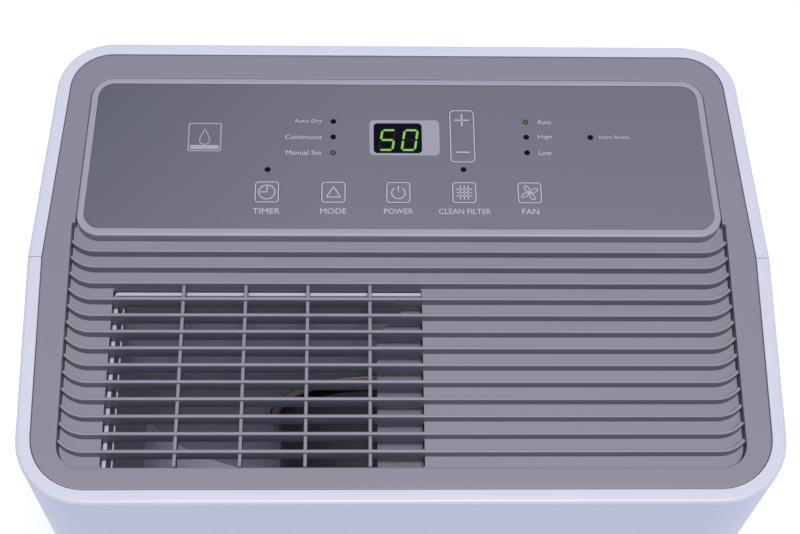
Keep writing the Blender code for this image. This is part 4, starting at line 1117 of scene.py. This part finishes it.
LENS_LOW, LENS_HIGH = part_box("display_lens")
surround_xs = (LENS_LOW.x - 0.0024, LENS_HIGH.x + 0.0098)
surround_ys = (LENS_LOW.y - 0.0016, LENS_HIGH.y + 0.0022)
surround_edge = outline(rectangle(surround_xs, surround_ys, 0.0026), run=4)
lens_edge = outline(rectangle(*spans("display_lens")[:2], 0.0020, -0.0002), run=4)
surround = on_film(np.stack([surround_edge, lens_edge], axis=1))
ink("display_surround", [surround], "control_overlay", SURROUND)
for name, text, rise, size in (
    ("humidity_mark", "RH", 0.0129, (0.0056, 0.0022)),
    ("percent_mark", "%", 0.0073, (0.0030, 0.0024)),
):
    place = (LENS_HIGH.x + 0.0049, LENS_LOW.y + rise)
    words(name, text, place, size, look=PALE_INK, lift=SECOND_LIFT)
print("rocker and surround printed")

# %% [markdown]
# The display shows two slanted seven-segment digits. A segment is a thin hexagon, and a digit
# lists which of its seven segments glow.

# %% Digits
DIGIT_W, DIGIT_H, SEGMENT = 0.0071, 0.01265, 0.00125
SEGMENT_GAP = 0.0003
SLANT = math.tan(math.radians(8))
SEGMENTS = {
    "top": ((0, 2), (1, 2)),
    "upper_left": ((0, 1), (0, 2)),
    "upper_right": ((1, 1), (1, 2)),
    "middle": ((0, 1), (1, 1)),
    "lower_left": ((0, 0), (0, 1)),
    "lower_right": ((1, 0), (1, 1)),
    "bottom": ((0, 0), (1, 0)),
}
FIVE = {"top", "upper_left", "middle", "lower_right", "bottom"}
ZERO = set(SEGMENTS) - {"middle"}


def segment(start, end, x, y):
    """A hexagon from one digit corner to the next, pointed at both ends and slanted."""
    size = np.array([DIGIT_W, DIGIT_H / 2])
    a, b = np.array(start) * size, np.array(end) * size
    ahead = (b - a) / np.linalg.norm(b - a)
    side = np.array([-ahead[1], ahead[0]]) * SEGMENT / 2
    point, shoulder = ahead * SEGMENT_GAP, ahead * (SEGMENT_GAP + SEGMENT / 2)
    ends = [a + point, a + shoulder - side, b - shoulder - side]
    path = np.array([*ends, b - point, b - shoulder + side, a + shoulder + side])
    path[:, 0] += path[:, 1] * SLANT
    return patch(path + (x, y))


lit, unlit = [], []
digit_y = (LENS_LOW.y + LENS_HIGH.y) / 2 - DIGIT_H / 2 - 0.0012
for left, shown in ((LENS_LOW.x + 0.0029, FIVE), (LENS_LOW.x + 0.0151, ZERO)):
    for name, (start, end) in SEGMENTS.items():
        (lit if name in shown else unlit).append(segment(start, end, left, digit_y))
ink("lit_digits", lit, "display_lens", GREEN)
ink("unlit_digits", unlit, "display_lens", UNLIT)
print("segments lit", len(lit))

# %% [markdown]
# Small round windows mark the settings, with a plain word beside each. Two of them glow: a
# smaller green disc lies a hair above the dark one.

# %% Lamps and labels
DOT, GLOW = 0.0016, 0.72
MODE_X, FAN_X, BUCKET_X = -0.0362, 0.0694, 0.1046
KEY_Y = sum(spans("key_timer")[1]) / 2
LAMPS = {
    "lamp_dry": (MODE_X, 0.0843, "Auto Dry", 0.0150),
    "lamp_continuous": (MODE_X, 0.0743, "Continuous", 0.0200),
    "lamp_set": (MODE_X, 0.0643, "Manual Set", 0.0194),
    "lamp_auto": (FAN_X, 0.0845, "Auto", 0.0078),
    "lamp_high": (FAN_X, 0.0747, "High", 0.0078),
    "lamp_low": (FAN_X, 0.0647, "Low", 0.0070),
    "lamp_bucket": (BUCKET_X, 0.0747, "Empty Bucket", 0.0164),
    "lamp_timer": (-0.0714, KEY_Y + 0.0140, "", 0.0),
    "lamp_filter": (0.0344, KEY_Y + 0.0144, "", 0.0),
}
LIT = {"lamp_set", "lamp_auto"}
LABEL_SIDE = {MODE_X: (-0.0424, "RIGHT"), FAN_X: (0.0758, "LEFT"), BUCKET_X: (0.1096, "LEFT")}
for name, (x, y, *_) in LAMPS.items():
    ink(name, [patch(circle(x, y, DOT, count=25)[:-1])], "control_overlay", DOT_INK)
    if name in LIT:
        glow = [patch(circle(x, y, DOT * GLOW, count=25)[:-1])]
        ink(name + "_glow", glow, "control_overlay", GREEN_DOT, SECOND_LIFT)
labelled = [values for values in LAMPS.values() if values[2]]
for x, y, text, width in labelled:
    label_x, align = LABEL_SIDE[x]
    size = (width, 0.0025 if x == BUCKET_X else 0.0028)
    words("word_" + text.replace(" ", "_").lower(), text, (label_x, y), size, align=align)
print("lamps", len(LAMPS), "labels", len(labelled))

# %% [markdown]
# The drop's outline is one closed curve: its half width is sin(t) * sin(t / 2) squared, which is
# nothing at the tip and grows towards the round end. A frame and a bar complete the mark.

# %% Drop mark
mark_xs, mark_ys = (-0.1148, -0.0974), (0.0652, 0.0826)
middle_x, middle_y = sum(mark_xs) / 2, sum(mark_ys) / 2 + 0.0006
t = np.linspace(0, 2 * math.pi, 40, endpoint=False)
drop_x = middle_x + 0.0042 * np.sin(t) * np.sin(t / 2) ** 2
drop = np.column_stack([drop_x, middle_y + 0.0052 * np.cos(t)])
bar_xs = (mark_xs[0] + 0.001, mark_xs[1] - 0.001)
bar_ys = (mark_ys[0] + 0.001, mark_ys[0] + 0.0036)
drop_shells = [
    strip(outline(rectangle(mark_xs, mark_ys, 0.0006), run=2), 0.0006, True),
    strip(drop, 0.0005, True),
    patch(outline(rectangle(bar_xs, bar_ys, 0.0003), run=1)),
]
ink("drop_mark", drop_shells, "control_overlay", PALE_INK)
print("drop points", len(drop))

# %% [markdown]
# ## Casters
# A caster wheel is a turned shape: a rounded tread, a shallow dish on each face and a hub. A
# profile of radius and width in millimetres, turned round the axle, replaces the plain disc.

# %% Caster wheels
HALF_MM = [
    (2.3, -6.0), (5.0, -6.0), (5.6, -5.6), (6.0, -4.2), (10.5, -4.2), (11.2, -5.6),
    (11.8, -6.0), (13.4, -6.0), (14.4, -5.5), (14.9, -4.3), (15.0, -2.5),
]
WHEEL_MM = HALF_MM + [(radius, -side) for radius, side in reversed(HALF_MM)]
for corner in CASTERS:
    node = f"caster_wheel_{corner}"
    low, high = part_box(node)
    lathed = turned(np.array(WHEEL_MM) / 1000, (low + high) / 2, hollow=True)
    piece(object_of(f"{node}_fine", lathed), node, replaces=True)
print("wheels", len(CASTERS))

# %% [markdown]
# ## Floor, light and camera
# The machine stands on a plain pale floor under soft light from above. A wide sun gives even
# light with soft shadows in the slots, and the pale sky fills the sides. The camera looks down
# on the control panel from the front.

# %% Stage
REACH = 12.0
floor_mesh = bpy.data.meshes.new("floor")
floor_corners = [(-REACH, -REACH, 0), (REACH, -REACH, 0), (REACH, REACH, 0), (-REACH, REACH, 0)]
floor_mesh.from_pydata(floor_corners, [], [(0, 1, 2, 3)])
paint = Graph("floor_paint", roughness=0.7)
cloud = paint.noise(3.0, 2.0)
paint.feed("Base Color", paint.mix(cloud, (0.83, 0.87, 0.95, 1), (0.85, 0.89, 0.96, 1)))
floor_mesh.materials.append(paint.material)
placed("floor", floor_mesh)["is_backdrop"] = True

world = bpy.data.worlds.new("studio")
bpy.context.scene.world = world
world.use_nodes = True
sky = world.node_tree.nodes["Background"]
sky.inputs["Color"].default_value = (0.65, 0.7125, 1.0, 1.0)
sky.inputs["Strength"].default_value = 0.40

sun = bpy.data.lights.new("overhead", "SUN")
sun.energy = 3.05
sun.color = (1.0, 0.99, 0.985)
sun.angle = math.radians(22)
placed("overhead", sun).rotation_euler = (math.radians(7), math.radians(3), 0)
bpy.context.scene.view_settings.view_transform = "Standard"
print("floor, sky and sun are set")

# %% [markdown]
# A camera looks along its own -Z with +Y up, so its place comes from three turns. It is tilted
# from straight down, swung a little about the upright, and rolled a little about its own view.

# %% Camera
PITCH, YAW, ROLL = 1.09123443, -0.0604644523, 0.055770141
EYE = (-0.0239, -0.3898, TOP + 0.7398)
lens = bpy.data.cameras.new("camera")
lens.lens = 71.75
lens.sensor_width = 36.0
camera = placed("camera", lens)
swing, roll = Matrix.Rotation(YAW, 4, "Z"), Matrix.Rotation(ROLL, 4, "Z")
tilt = Matrix.Rotation(QUARTER - PITCH, 4, "X")
camera.matrix_world = Matrix.Translation(EYE) @ swing @ tilt @ roll
bpy.context.scene.camera = camera
print("camera at", EYE)

# %% Sizes, then finish
low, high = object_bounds()
print("frame box", cad_low, cad_high, "visual box", low, high)
